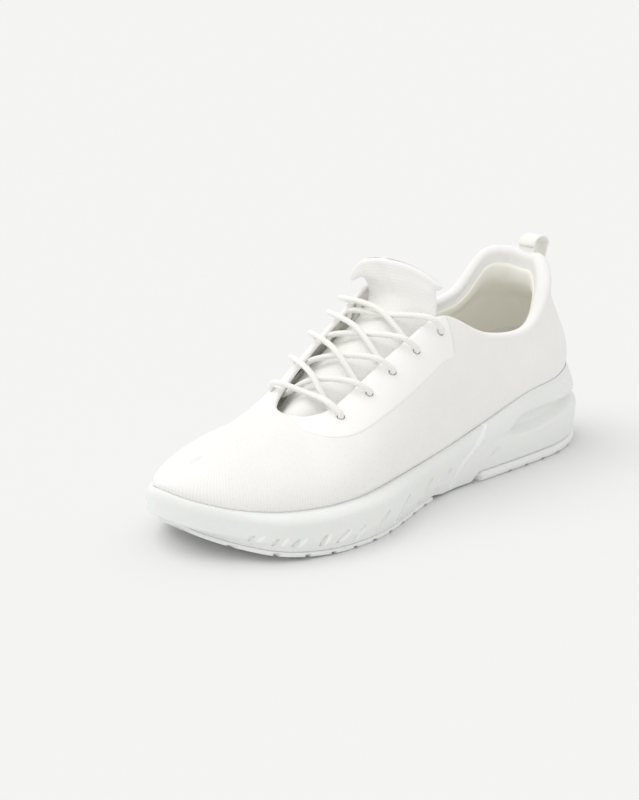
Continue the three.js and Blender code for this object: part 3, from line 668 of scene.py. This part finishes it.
def dress_nodes():
    for node, material in NODE_MATERIALS.items():
        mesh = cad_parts[node].data
        mesh.materials.clear()
        mesh.materials.append(material)


def piece(obj, slot, *nodes, body="shoe"):
    """Hides the CAD nodes that a finished piece stands for and hangs the piece on its body; the slot argument
    is not used.
    """
    if nodes:
        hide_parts(*nodes)
    if body:
        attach(obj, body)
    return obj


# ---------- sole ----------
HEEL_RUBBER_END = 4.3  # stations
FRONT_RUBBER_START = 5.8
ARCH_LIFT = 0.9  # clear height under the arch
FRONT_GAP = 0.04


def rubber_room(s):
    """Height of the midsole's underside over the ground: it steps over each rubber pad."""
    side = np.abs(s)
    heel = (OUTSOLE_HEEL + GAP - ARCH_LIFT) * smooth(4.6, HEEL_RUBBER_END, side)
    front = (OUTSOLE_FRONT + FRONT_GAP - ARCH_LIFT) * smooth(5.4, FRONT_RUBBER_START, side)
    return ARCH_LIFT + heel + front


def midsole_under(x, s):
    return ground(x) + rubber_room(s)


# Lower and upper ends of the slanting slots on the outer side, as x and z, from the toe to the arch.
SIDE_SLOTS = [
    [116.5, 11, 114.5, 13.5],
    [108, 9, 106, 12],
    [101, 7.7, 98, 10.8],
    [89, 6.2, 86, 10.6],
    [81, 6, 75, 10.4],
    [72, 5, 65, 10.2],
    [59, 5.5, 49, 12.4],
    [42, 4.5, 29, 13],
    [17, 4, 3, 13],
    [0, 4, -14.5, 13.5],
]
BAND_FRONT = [[-15.5, 3.4], [-24.6, 13.5], [-36.3, 23], [-44, 30]]  # the long slot in front of the heel band
BAND_TOP = [43.5, 40, 36.5, 30]  # z at even steps of x from the heel to the arch
CREASE = [[-44, 11.7], [-51, 16]]
# The recess under the heel band: x and z of its upper edge and of its lower edge.
RECESS_TOP = np.array([[-140, 31], [-112, 30.4], [-91, 30.9], [-71, 29.6], [-58, 22.5]])
RECESS_FOOT = np.array([[-140, 24.5], [-114, 23.1], [-100, 20.9], [-87, 18.9], [-74, 18.3], [-58, 19.8]])


def distance_to_line(x, z, line):
    """Distance to a polyline in x and z, and the place along it from 0 to 1."""
    line = np.asarray(line, float)
    best = np.full(np.shape(x), 1e9)
    place = np.zeros(np.shape(x))
    for k in range(len(line) - 1):
        a, b = line[k], line[k + 1]
        d = b - a
        t = np.clip(((x - a[0]) * d[0] + (z - a[1]) * d[1]) / np.dot(d, d), 0, 1)
        far = np.hypot(x - a[0] - d[0] * t, z - a[1] - d[1] * t)
        nearer = far < best
        best = np.where(nearer, far, best)
        place = np.where(nearer, (k + t) / (len(line) - 1), place)
    return best, place


def side_relief(x, z, s):
    """How far the side of the midsole stands proud (+) or is let in (-) at a place, in millimetres."""
    outer = (s > 0).astype(float)
    relief = np.zeros(np.shape(x))
    for index, (low_x, low_z, high_x, high_z) in enumerate(SIDE_SLOTS):
        t = index / (len(SIDE_SLOTS) - 1)
        far, place = distance_to_line(x, z, [[low_x, low_z], [high_x, high_z]])
        taper = 0.35 + 0.65 * np.sin(np.pi * np.clip(place, 0.02, 0.98))
        half = lerp(0.9, 1.5, t) * taper
        relief -= outer * lerp(0.9, 2.2, t) * (1 - smooth(0.15, 1, far / half))
    far, place = distance_to_line(x, z, BAND_FRONT)
    taper = np.sin(np.pi * np.clip(0.04 + place * 0.96, 0.0, 1.0)) ** 0.5
    relief -= outer * 2.0 * taper * (1 - smooth(0.2, 1.9, far))
    behind = smooth(-44, -60, x)
    top = through(BAND_TOP, np.clip((x + 109) / 65 * 3, 0, 3))
    upper = np.interp(x, *RECESS_TOP.T)
    lower = np.interp(x, *RECESS_FOOT.T)
    inside = smooth(0, 0.8, upper - z) * smooth(0, 5.0, z - lower)
    relief -= 4.4 * smooth(-56, -68, x) * inside
    relief += 0.7 * behind * smooth(upper - 0.8, upper + 1.6, z) * smooth(top + 2, top - 5, z)
    far, _ = distance_to_line(x, z, CREASE)
    relief -= outer * 0.8 * (1 - smooth(0.1, 1.1, far))
    return relief


def fine_stations():
    """Stations close together where the outer side carries its slots, and round the heel and toe."""
    return np.concatenate([
        np.arange(-TOE, 0.5, 0.08),
        np.arange(0.5, 3.9, 0.05),
        np.arange(3.9, 12.6, 0.024),
        np.arange(12.6, TOE - 0.01, 0.06),
    ])


def paint_slot_highlights(midsole):
    """The floors of the slots on the outer side get a whiter foam colour: a painted highlight for the light
    the slots catch.
    """
    mesh = midsole.data
    centres = np.empty(len(mesh.polygons) * 3)
    mesh.polygons.foreach_get("center", centres)
    x, y, z = centres.reshape(-1, 3).T / MM - SHIFT[:, None]
    nearest = np.full(len(x), 1e9)
    lines = [[slot[:2], slot[2:]] for slot in SIDE_SLOTS] + [BAND_FRONT]
    for index, line in enumerate(lines):
        far, place = distance_to_line(x, z, line)
        width = lerp(0.75, 1.3, index / (len(lines) - 1)) * np.sin(np.pi * np.clip(place, 0.08, 0.92)) ** 0.4
        nearest = np.minimum(nearest, far / width)
    # Faces on the slot floors of the outer side take the whiter foam: a painted highlight
    bright = (nearest < 1) & (y > 20)
    mesh.polygons.foreach_set("material_index", bright.astype(np.int32))


def build_midsole():
    """The foam sole: its underside, its side with the slots and recess, its rim and the bed inside."""
    s = fine_stations()[:, None]
    rows = np.linspace(0, 1, 64)[None, :]
    foot = feather(s)
    under = midsole_under(foot[..., 0], s)
    top = foot[..., 2]
    z = lerp(under, top, rows)
    x = foot[..., 0] + 0 * rows
    low = under_edge(s)
    full = flare(s)
    swell = smooth(0, 0.30, rows)
    side = lerp(low, full, swell)
    lip = np.where(rows > 0.72, (rows - 0.72) / 0.28, 0)
    heel = smooth(4.4, 2.6, np.abs(s))
    rounded = (full - 0.25) * (1 - np.sqrt(np.clip(1 - lip ** 2.2, 0, 1)))
    leaning_in = (full - 0.25) * np.clip((rows - 0.40) / 0.60, 0, 1) ** 1.15
    side = side - lerp(rounded, leaning_in, heel)
    foot_round = 1.1 * (1 - np.sqrt(np.clip(1 - (1 - np.clip(rows / 0.05, 0, 1)) ** 2, 0, 1)))
    side = side - foot_round
    held = smooth(1.0, 0.9, rows)
    side = side + side_relief(x, z, s + 0 * rows) * held
    outer = sole_point(s + 0 * rows, side, z)
    inner_rows = np.linspace(0, 1, 10)[None, :]
    rim = sole_point(s, 0.1 + 0 * s, top)
    seam = sole_point(s, 0.5 - TUCK + 0 * s, lambda px, ps: bed(px))
    drop = lerp(rim, seam, inner_rows[..., None])
    centre_x, centre_y = sole_middle(s)
    spread = np.linspace(0, 1, 14)[1:][None, :]
    bed_x = lerp(seam[..., 0], centre_x, spread)
    bed_y = lerp(seam[..., 1], centre_y, spread)
    bed_rows = stack(bed_x, bed_y, bed(bed_x))
    edge = outer[:, :1]
    base_x = lerp(centre_x, edge[..., 0], 1 - spread[:, ::-1])
    base_y = lerp(centre_y, edge[..., 1], 1 - spread[:, ::-1])
    base_rows = stack(base_x, base_y, midsole_under(base_x, s + 0 * base_x))
    grid = np.concatenate([base_rows, outer, drop[:, 1:], bed_rows], axis=1)
    obj = loft("midsole_foam", grid, close_rows=True, materials=[FOAM, SLOT_HIGHLIGHT_FOAM], merge=2e-5)
    fill_holes(obj)
    paint_slot_highlights(obj)
    return piece(obj, "foam_white", "midsole")


def fill_holes(obj):
    edit = bmesh.new()
    edit.from_mesh(obj.data)
    bmesh.ops.holes_fill(edit, edges=[e for e in edit.edges if e.is_boundary], sides=0)
    bmesh.ops.recalc_face_normals(edit, faces=edit.faces)
    for face in edit.faces:
        face.smooth = True
    edit.to_mesh(obj.data)
    edit.free()


def box_cutter(name, centre, size):
    """A box to cut with, upright and square to the axes."""
    bpy.ops.mesh.primitive_cube_add(size=1)
    obj = bpy.context.object
    obj.name = name
    obj.data.transform(obj.matrix_world)
    obj.location = Vector(placed(centre))
    obj.scale = Vector(np.asarray(size, float) * MM)
    return obj


TREAD_GROOVE = (2.4, 130, 2.6)


def build_outsole(name, node, stations, height, grooves):
    s = stations[:, None]
    rows = np.linspace(0, 1, 9)[None, :]
    foot = feather(s)
    base = ground(foot[..., 0])
    rounding = 0.5 * (1 - np.sqrt(np.clip(1 - (2 * rows - 1) ** 4, 0, 1)))
    proud = np.where(np.abs(s) < 5, 0.9, 0.35)
    out = under_edge(s) - 0.25 + proud * np.sin(np.pi * rows) ** 0.7 - rounding
    side = sole_point(s + 0 * rows, out, base + height * rows)
    centre_x, centre_y = sole_middle(s)
    spread = np.linspace(0, 1, 9)[1:][None, :]

    def face(edge, lift):
        x = lerp(edge[..., 0], centre_x, spread)
        y = lerp(edge[..., 1], centre_y, spread)
        return stack(x, y, ground(x) + lift)

    grid = np.concatenate([face(side[:, :1], 0)[:, ::-1], side, face(side[:, -1:], height)], axis=1)
    obj = loft(name, grid, cap_rows=True, materials=[RUBBER], merge=2e-5)
    fill_holes(obj)
    cutters = [box_cutter(f"groove_{k}", (x, 0, ground(x)), TREAD_GROOVE) for k, x in enumerate(grooves)]
    cut(obj, cutters)
    return piece(obj, "rubber_white", node)


# ---------- upper ----------
INSIDE_KNIT = KNIT + GAP
PAD_FROM = 0.56


def pad_thickness(s, v):
    round_heel = lerp(COLLAR_PAD, 3, smooth(2.4, 4.6, np.abs(s)))
    across = smooth(PAD_FROM - 0.05, 0.78, v) * lerp(1, 0.55, smooth(0.86, 1, v))
    return 1 + (round_heel - 1) * across


def rim_radius(s):
    """Half the thickness of the rolled top edge: a fat pad round the heel and a thin facing in front."""
    side = np.abs(s)
    collar = lerp(4.3, 3.2, smooth(1.5, 4.2, side))
    return lerp(collar, 1.15, smooth(4.3, 5.3, side)) * smooth(THROAT_FRONT, 9.3, side)


def rim_turn(s):
    """Height v at which the outside of the upper turns over into its rim, one row for each station."""
    length = np.linalg.norm(wall(s, 1.0) - wall(s, 0.98), axis=-1)[:, None] / 0.02
    return 1 - rim_radius(s)[:, None] / length


def lining_depth(s, v):
    """Depth of the inner face of the collar under the outside of the upper."""
    rear = smooth(5.6, 4.6, np.abs(s))
    pad = INSIDE_KNIT + pad_thickness(s, v) + GAP + LINING
    rim = 2 * rim_radius(s)
    padded = lerp(pad, rim, smooth(0.8, 0.97, v))
    return lerp(KNIT + 0 * v, padded, rear)


def upper_sections(s, inner_from):
    """Points of the upper's section at each station: up the outside, over the rim and down the inside."""
    radius = rim_radius(s)[:, None]
    turn_v = rim_turn(s)
    rows = np.concatenate([[-0.6, -0.3, -0.1, -0.03], np.linspace(0, 1, 72)])[None, :]
    v = np.where(rows < 0, rows, rows * turn_v)
    column = s[:, None] + 0 * rows
    outside = wall(column, v)
    edge = wall(s[:, None], turn_v)
    normal = wall_normal(s[:, None], turn_v)
    upward = unit(wall(s[:, None], 1.0 + 0 * turn_v) - wall(s[:, None], turn_v - 0.02))
    angle = np.linspace(0, np.pi, 14)[1:][None, :, None]
    inward = normal * radius[..., None] * (1 - np.cos(angle))
    roll = edge - inward + upward * radius[..., None] * np.sin(angle)
    inner_rows = np.linspace(1, inner_from, 30)[None, :]
    inner_v = inner_rows * turn_v
    depth = np.maximum(lining_depth(s[:, None] + 0 * inner_v, inner_v), KNIT)
    depth = lerp(2 * radius, depth, smooth(1, 0.93, inner_rows))
    depth = np.where(np.abs(s[:, None]) >= 9.3, np.maximum(depth, KNIT), depth)
    inside = layer(s[:, None] + 0 * inner_v, inner_v, depth)
    return outside, roll, inside


def upper_stations():
    half = np.concatenate([np.arange(0, 4, 0.07), np.arange(4, 10, 0.06), np.arange(10, TOE + 0.001, 0.08)])
    return np.concatenate([-half[:0:-1], half[:-1]])  # the toe tip is there once


def build_upper():
    """The knitted shell as one closed skin: outside, rolled rim and inside."""
    s = upper_stations()
    outside, roll, inside = upper_sections(s, 0.30)
    foot = layer(s[:, None], np.array([[-0.6]]), np.full((len(s), 1), KNIT))
    grid = np.concatenate([outside, roll, inside, foot], axis=1)
    first_roll = outside.shape[1] - 1
    last_roll = first_roll + roll.shape[1] + 1
    crest = np.abs(s) >= THROAT_FRONT - 1e-6

    def skip(i, ni, j):
        return crest[i] and crest[ni] and first_roll <= j < last_roll

    closed = {"close_rows": True, "close_columns": True}
    return loft("knit_upper", grid, skip=skip, materials=[KNITTED], merge=3e-5, **closed)


def eyelet_frame(station, side):
    s = station * side
    v = 1.0
    travelled = 0.0
    step = 0.005
    while travelled < EYELET_INSET:
        travelled += float(np.linalg.norm(wall(s, v) - wall(s, v - step)))
        v -= step
    centre = wall(s, v)
    return {"centre": centre, "normal": wall_normal(s, v), "inboard": unit(wall(s, v + 0.02) - centre)}


EYELETS = {side: [eyelet_frame(station, side) for station in EYELET_STATIONS[side]] for side in (1, -1)}


def at(eyelet, inboard, height):
    return eyelet["centre"] + eyelet["inboard"] * inboard + eyelet["normal"] * height


def eyelet_cutters():
    cutters = []
    for side in (1, -1):
        for index, eyelet in enumerate(EYELETS[side]):
            bpy.ops.mesh.primitive_cylinder_add(vertices=24, radius=EYELET_RADIUS * MM, depth=14 * MM)
            obj = bpy.context.object
            obj.rotation_mode = "QUATERNION"
            obj.rotation_quaternion = Vector((0, 0, 1)).rotation_difference(Vector(eyelet["normal"]))
            obj.location = Vector(placed(eyelet["centre"]))
            obj.name = f"punch_{index}_{side}"
            cutters.append(obj)
    return cutters


def build_film(side, name):
    """The fused film round the eyelets: wide over the instep, narrower to the front of the throat."""
    s = np.arange(4.95, 9.85, 0.05) * side
    reach = np.abs(s)
    low = through([0.60, 0.56, 0.55, 0.58, 0.64, 0.74], np.clip((reach - 4.95) / 4.9 * 5, 0, 5))
    rows = np.linspace(0, 1, 44)[None, :]
    high = 0.975
    v = lerp(low[:, None], high, rows)
    column = s[:, None] + 0 * rows
    edge_fade = smooth(0, 0.035, rows) * smooth(1, 0.965, rows)
    ends = smooth(0, 0.3, np.minimum(reach - 4.95, 9.8 - reach))[:, None]
    height = 0.06 + 0.3 * edge_fade * (0.15 + 0.85 * ends)
    outside = layer(column, v, -height)
    inside = layer(column, v, np.full(v.shape, 0.02))
    grid = np.concatenate([outside, inside[:, ::-1]], axis=1)
    return loft(name, grid, close_columns=True, cap_rows=True, materials=[FILM], merge=1e-6)


def build_collar_lining():
    """The lining inside the collar, sewn on just under the rim and running down to the sockliner."""
    s = np.arange(-5.0, 5.001, 0.07)
    rows = np.linspace(0.93, -0.5, 60)[None, :]
    column = s[:, None] + 0 * rows
    turn_v = rim_turn(s)
    v = np.where(rows > 0, rows * turn_v, rows)
    depth = np.maximum(lining_depth(column, v), INSIDE_KNIT + 1.2 + GAP + LINING)
    thin = smooth(5.0, 4.3, np.abs(column))
    proud = 0.15 + 0.5 * smooth(0.93, 0.90, rows) * thin
    outside = layer(column, v, depth + proud)
    inside = layer(column, v, depth + proud - LINING)
    grid = np.concatenate([outside, inside[:, ::-1]], axis=1)
    obj = loft("collar_lining_cloth", grid, close_columns=True, cap_rows=True, materials=[LINED], merge=1e-6)
    return piece(obj, "lining_cream", "collar_lining", "collar_foam")


# ---------- sockliner ----------
def build_sock_cover():
    """The cloth on the footbed, as a thin slab on the sockliner's foam."""
    s = np.arange(-TOE, TOE, 0.12)[:, None]
    bottom = BOARD_ROOM + SOCK_FOAM + GAP
    rows = np.linspace(0, 1, 7)[None, :]
    out = -SOCK_INSET - 0.5 * (2 * rows - 1) ** 4
    side = sole_point(s + 0 * rows, out, lambda x, ps: bed(x) + bottom + SOCK_COVER * rows)
    centre_x, centre_y = sole_middle(s)
    spread = np.linspace(0, 1, 16)[1:][None, :]

    def face(edge, lift):
        x = lerp(edge[..., 0], centre_x, spread)
        y = lerp(edge[..., 1], centre_y, spread)
        return stack(x, y, bed(x) + lift)

    underside = face(side[:, :1], bottom)[:, ::-1]
    topside = face(side[:, -1:], bottom + SOCK_COVER)
    grid = np.concatenate([underside, side, topside], axis=1)
    obj = loft("sockliner_cloth", grid, close_rows=True, materials=[LINED], merge=2e-5)
    fill_holes(obj)
    return piece(obj, "lining_cream", "sockliner_cover", body="sockliner")


# ---------- tongue ----------
# Middle line from the stitched front end to the free top: x, y, z, half width, drop of the edges and
# how far it rolls over towards the outer side.
TONGUE = np.array([
    [74, 0, 43.5, 16, 4, 0],
    [58, 0, 51.5, 20, 8, 0.03],
    [36, 0.5, 63, 24.5, 7.5, 0.13],
    [12, 0.5, 76, 25, 7.5, 0.19],
    [-8, -1, 86.6, 23.5, 7, 0.2],
    [-15, -2.8, 96.5, 23.2, 4, 0.1],
    [-13.5, -8, 106, 25, 3, -0.02],
    [-12.5, -11.5, 115, 28.5, 4, -0.05],
])
TONGUE_TWIST = 0.17
TONGUE_THICK = 6.4


def tongue_column(column, t):
    return through(TONGUE[:, column], t)


def tongue_point(t, q, depth):
    """A point of the tongue: t along it, q from edge to edge (-1 to 1), depth under its face."""
    t, q, depth = np.broadcast_arrays(np.asarray(t, float), np.asarray(q, float), np.asarray(depth, float))

    def line(at_t):
        return stack(*(tongue_column(k, at_t) for k in range(3)))

    along = unit(line(np.minimum(t + 0.05, 7)) - line(np.maximum(t - 0.05, 0)))
    up = unit(np.cross(np.array([0, 1.0, 0]), along))
    drop = tongue_column(4, t) * np.sin(np.pi / 2 * q) ** 2
    corner = 14 * smooth(5.2, 7, t) * np.abs(q) ** 2.3
    across = tongue_column(3, t) * q
    point = line(t) - up * (drop + depth)[..., None] - along * corner[..., None]
    twist = -TONGUE_TWIST * smooth(4.5, 6.5, t) * across
    return point + stack(twist, across, -tongue_column(5, t) * across)


def build_tongue():
    """One padded body: a knitted face and a lining back, bent across the fold at the top eyelets."""
    t = np.linspace(0, 7, 150)[:, None]
    half = np.linspace(-1, 1, 61)[None, :]
    q = np.sin(half * np.pi / 2)
    edge = np.sqrt(np.clip(1 - np.abs(q) ** 5, 0, 1))
    end = np.sqrt(np.clip(1 - np.clip((t - 6.72) / 0.28, 0, 1) ** 2, 0, 1))
    puff = edge * (0.25 + 0.75 * end)
    crease = 1.1 * np.exp(-(q / 0.12) ** 2) * smooth(3.2, 5.6, t) * smooth(7.0, 6.2, t)
    face_depth = lerp(TONGUE_THICK * 0.42, 0, puff) + crease
    back_depth = lerp(TONGUE_THICK * 0.42, TONGUE_THICK, puff)
    face = tongue_point(t, q, face_depth)
    back = tongue_point(t, q, back_depth)
    grid = np.concatenate([face, back[:, ::-1]], axis=1)
    skins = [KNITTED, LINED]
    obj = loft("tongue_padded", grid, close_columns=True, cap_rows=True, materials=skins, merge=2e-5)
    fold = placed(tongue_point(5.0, 0.0, 0.0))
    nodes = [f"tongue_{part}_{skin}" for part in ("base", "top") for skin in ("face", "foam", "lining")]
    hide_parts(*nodes)
    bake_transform(obj)
    return obj


# ---------- lace ----------
UNDER_STRAND = 7.2
OVER_STRAND = UNDER_STRAND + 2 * LACE_RADIUS + 0.5
TUCKED = [
    [0.03, 0.8, 4.3],
    [0.1, 0.72, 4.8],
    [0.25, 0.62, 6.2],
    [0.6, 0.52, 6.8],
    [1.2, 0.45, 7],
    [1.8, 0.41, 7.2],
    [2.5, 0.4, 7.2],
    [3.2, 0.4, 7.2],
]


STRAND_LEAN = 0.8


def leaning(eyelet, other, part):
    """The eyelet's frame with its inboard direction turned part of the way towards another eyelet."""
    towards = other["centre"] - eyelet["centre"]
    towards = unit(towards - eyelet["normal"] * np.dot(towards, eyelet["normal"]))
    return {**eyelet, "inboard": unit(lerp(eyelet["inboard"], towards, part))}


def through_eyelet(side, k):
    """The lace through eyelet k on one side, from on top of the facing to under its edge."""
    eyelet = EYELETS[side][k]
    above = leaning(eyelet, EYELETS[-side][min(k + 1, EYELET_PAIRS - 1)], STRAND_LEAN)
    below = leaning(eyelet, EYELETS[-side][max(k - 1, 0)], 0.5 * STRAND_LEAN)
    places = [
        (above, 9, 3.8),
        (above, 3.4, 3.4),
        (eyelet, 0.3, 1.9),
        (eyelet, 0, -0.6),
        (eyelet, 0.2, -3.1),
        (below, 2.9, -4.4),
        (below, 7, -4.5),
    ]
    return [at(*place) for place in places]


def crossing(k, height):
    corners = [EYELETS[side][k + step] for side in (1, -1) for step in (0, 1)]
    middle = sum(eyelet["centre"] for eyelet in corners) / 4
    lift = unit(sum(eyelet["normal"] for eyelet in corners))
    return middle + lift * height


def tucked_end(side):
    first = EYELET_STATIONS[side][0]
    return [layer((first + past) * side, v, np.array(depth)) for past, v, depth in TUCKED]


def lace_half(start_side, height):
    route = []
    side = start_side
    for k in range(EYELET_PAIRS - 1, 0, -1):
        route += through_eyelet(side, k)
        route.append(crossing(k - 1, height(k)))
        side = -side
    return route + through_eyelet(side, 0)[:4] + tucked_end(side)


def lace_route():
    bar = (EYELETS[1][-1]["centre"] + EYELETS[-1][-1]["centre"]) / 2 + UP * 5.5
    evens = lace_half(1, lambda k: OVER_STRAND if k % 2 == 0 else UNDER_STRAND)
    odds = lace_half(-1, lambda k: UNDER_STRAND if k % 2 == 0 else OVER_STRAND)
    return np.array([*evens[::-1], bar, *odds])


STRANDS = 6  # each way round the braid
STRAND_LAY = 3.1  # radians of winding for each millimetre of lace
STRAND_RELIEF = 0.035


def build_lace():
    line = centripetal(lace_route(), 10)
    _, sides, others = frames_along(line)
    count = 20
    angle = np.arange(count) * 2 * np.pi / count
    length = np.concatenate([[0], np.cumsum(np.linalg.norm(np.diff(line, axis=0), axis=1))])
    points = []
    for centre, side, other, here in zip(line, sides, others, length):
        lay = STRAND_LAY * here
        strands = np.maximum(np.sin(STRANDS * angle + lay), np.sin(-STRANDS * angle + lay))
        radius = LACE_RADIUS * (1 + STRAND_RELIEF * strands)
        ring = np.outer(radius * np.cos(angle), side) + np.outer(radius * np.sin(angle), other)
        points.append(centre + ring)
    points = np.array(points)
    faces = []
    uvs = []
    for i in range(len(line) - 1):
        for j in range(count):
            nj = (j + 1) % count
            faces.append((i * count + j, i * count + nj, (i + 1) * count + nj, (i + 1) * count + j))
            low, high = 2 * np.pi * j / count, 2 * np.pi * (j + 1) / count
            uvs += [(length[i], low), (length[i], high), (length[i + 1], high), (length[i + 1], low)]
    for row in (0, len(line) - 1):
        faces.append(tuple(row * count + j for j in range(count)))
        uvs += [(length[row], 0)] * count
    obj = mesh_object("lace_cord", points.reshape(-1, 3), faces, uvs, materials=[BRAID], merge=1e-7)
    return piece(obj, "lace_ivory", "lace")


# ---------- heel loop ----------
# The pull loop's arch from inside the collar to outside it, as x and z.
LOOP_LINE = [
    [-121.3, 108],
    [-120.8, 109],
    [-123.2, 112.2],
    [-127.5, 113.4],
    [-131.8, 112.2],
    [-134, 109],
    [-133.2, 107.4],
]


def strip(name, line, width, thickness):
    """Webbing along a line in the middle plane, with rounded edges."""
    line = np.array([[x, 0, z] for x, z in line])
    line = centripetal(line, 8)
    tangents = unit(np.gradient(line, axis=0))
    normal = unit(np.cross(np.array([0, 1.0, 0]), tangents))
    angle = np.linspace(0, 2 * np.pi, 33)[:-1]
    wide = np.sign(np.cos(angle)) * np.abs(np.cos(angle)) ** 0.35 * width / 2
    deep = np.sign(np.sin(angle)) * np.abs(np.sin(angle)) ** 0.6 * thickness / 2
    grid = line[:, None] + wide[None, :, None] * np.array([0, 1.0, 0]) + deep[None, :, None] * normal[:, None]
    return loft(name, grid, close_columns=True, cap_rows=True, materials=[WEBBING], merge=1e-7)


def build_heel_loop():
    """The pull loop, whose two legs go on down past the rim, inside and outside the collar."""
    inner_leg = [[-119.0, 99.5], [-120.2, 103.5]]
    outer_leg = [[-132.4, 104.5], [-131.0, 100.5]]
    obj = strip("heel_pull_loop", inner_leg + LOOP_LINE + outer_leg, LOOP_WIDTH, LOOP_THICKNESS)
    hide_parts("heel_loop")
    low = placed([-127.3, 0, 104.2])
    high = placed([-127.3, 0, 108.0])
    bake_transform(obj)
    return obj


def build_loop_tail():
    heights = [0.42, 0.55, 0.7, 0.84, 0.95]
    line = [layer(0.0, v, np.array(-(GAP + LOOP_THICKNESS / 2 + 0.3))) for v in heights]
    obj = strip("heel_loop_webbing", [[p[0], p[2]] for p in line], LOOP_WIDTH, LOOP_THICKNESS)
    return piece(obj, "lace_ivory", "heel_loop_tail")


# ---------- studio ----------
def build_studio():
    bpy.ops.mesh.primitive_plane_add(size=12)
    floor = bpy.context.object
    floor.name = "studio_floor"
    floor.data.materials.append(floor_material())
    world = bpy.data.worlds.new("studio")
    bpy.context.scene.world = world
    world.use_nodes = True
    world.node_tree.nodes["Background"].inputs[0].default_value = (1.0, 1.0, 0.995, 1)
    world.node_tree.nodes["Background"].inputs[1].default_value = 0.86
    bpy.context.scene.view_settings.view_transform = "Standard"
    sun = bpy.data.lights.new("softbox", "SUN")
    sun.energy = 1.0
    sun.angle = math.radians(50)
    sun.color = (1.0, 0.995, 0.98)
    lamp = bpy.data.objects.new("softbox", sun)
    lamp.rotation_euler = Vector((0.35, -0.45, 1.0)).to_track_quat("Z", "Y").to_euler()
    bpy.context.scene.collection.objects.link(lamp)


def build_camera():
    camera = bpy.data.cameras.new("photo_view")
    camera.lens = LENS_MM
    camera.sensor_width = SENSOR_MM
    camera.clip_start = 0.01
    obj = bpy.data.objects.new("photo_view", camera)
    bpy.context.scene.collection.objects.link(obj)
    obj.location = Vector(placed(CAMERA_AT))
    direction = Vector(placed(CAMERA_AIM)) - obj.location
    obj.rotation_euler = direction.to_track_quat("-Z", "Y").to_euler()
    bpy.context.scene.camera = obj


def main():
    build_camera()
    build_studio()
    dress_nodes()
    build_midsole()
    heel = np.arange(-HEEL_RUBBER_END, HEEL_RUBBER_END + 0.001, 0.1)
    build_outsole("heel_rubber", "outsole_heel", heel, OUTSOLE_HEEL, np.linspace(-118, -62, 5))
    outer_half = np.arange(FRONT_RUBBER_START, TOE, 0.08)
    inner_half = np.arange(TOE, 2 * TOE - FRONT_RUBBER_START + 0.01, 0.08)
    front = np.concatenate([outer_half, inner_half])
    build_outsole("forefoot_rubber", "outsole_forefoot", front, OUTSOLE_FRONT, np.linspace(8, 122, 10))
    upper = build_upper()
    cut(upper, eyelet_cutters())
    piece(upper, "knit_white", "upper_knit")
    for side, name, node in ((1, "film_outer", "facing_film_outer"), (-1, "film_inner", "facing_film_inner")):
        film = build_film(side, name)
        cut(film, eyelet_cutters())
        piece(film, "film_white", node)
    build_collar_lining()
    build_sock_cover()
    build_tongue()
    build_lace()
    build_heel_loop()
    build_loop_tail()


main()
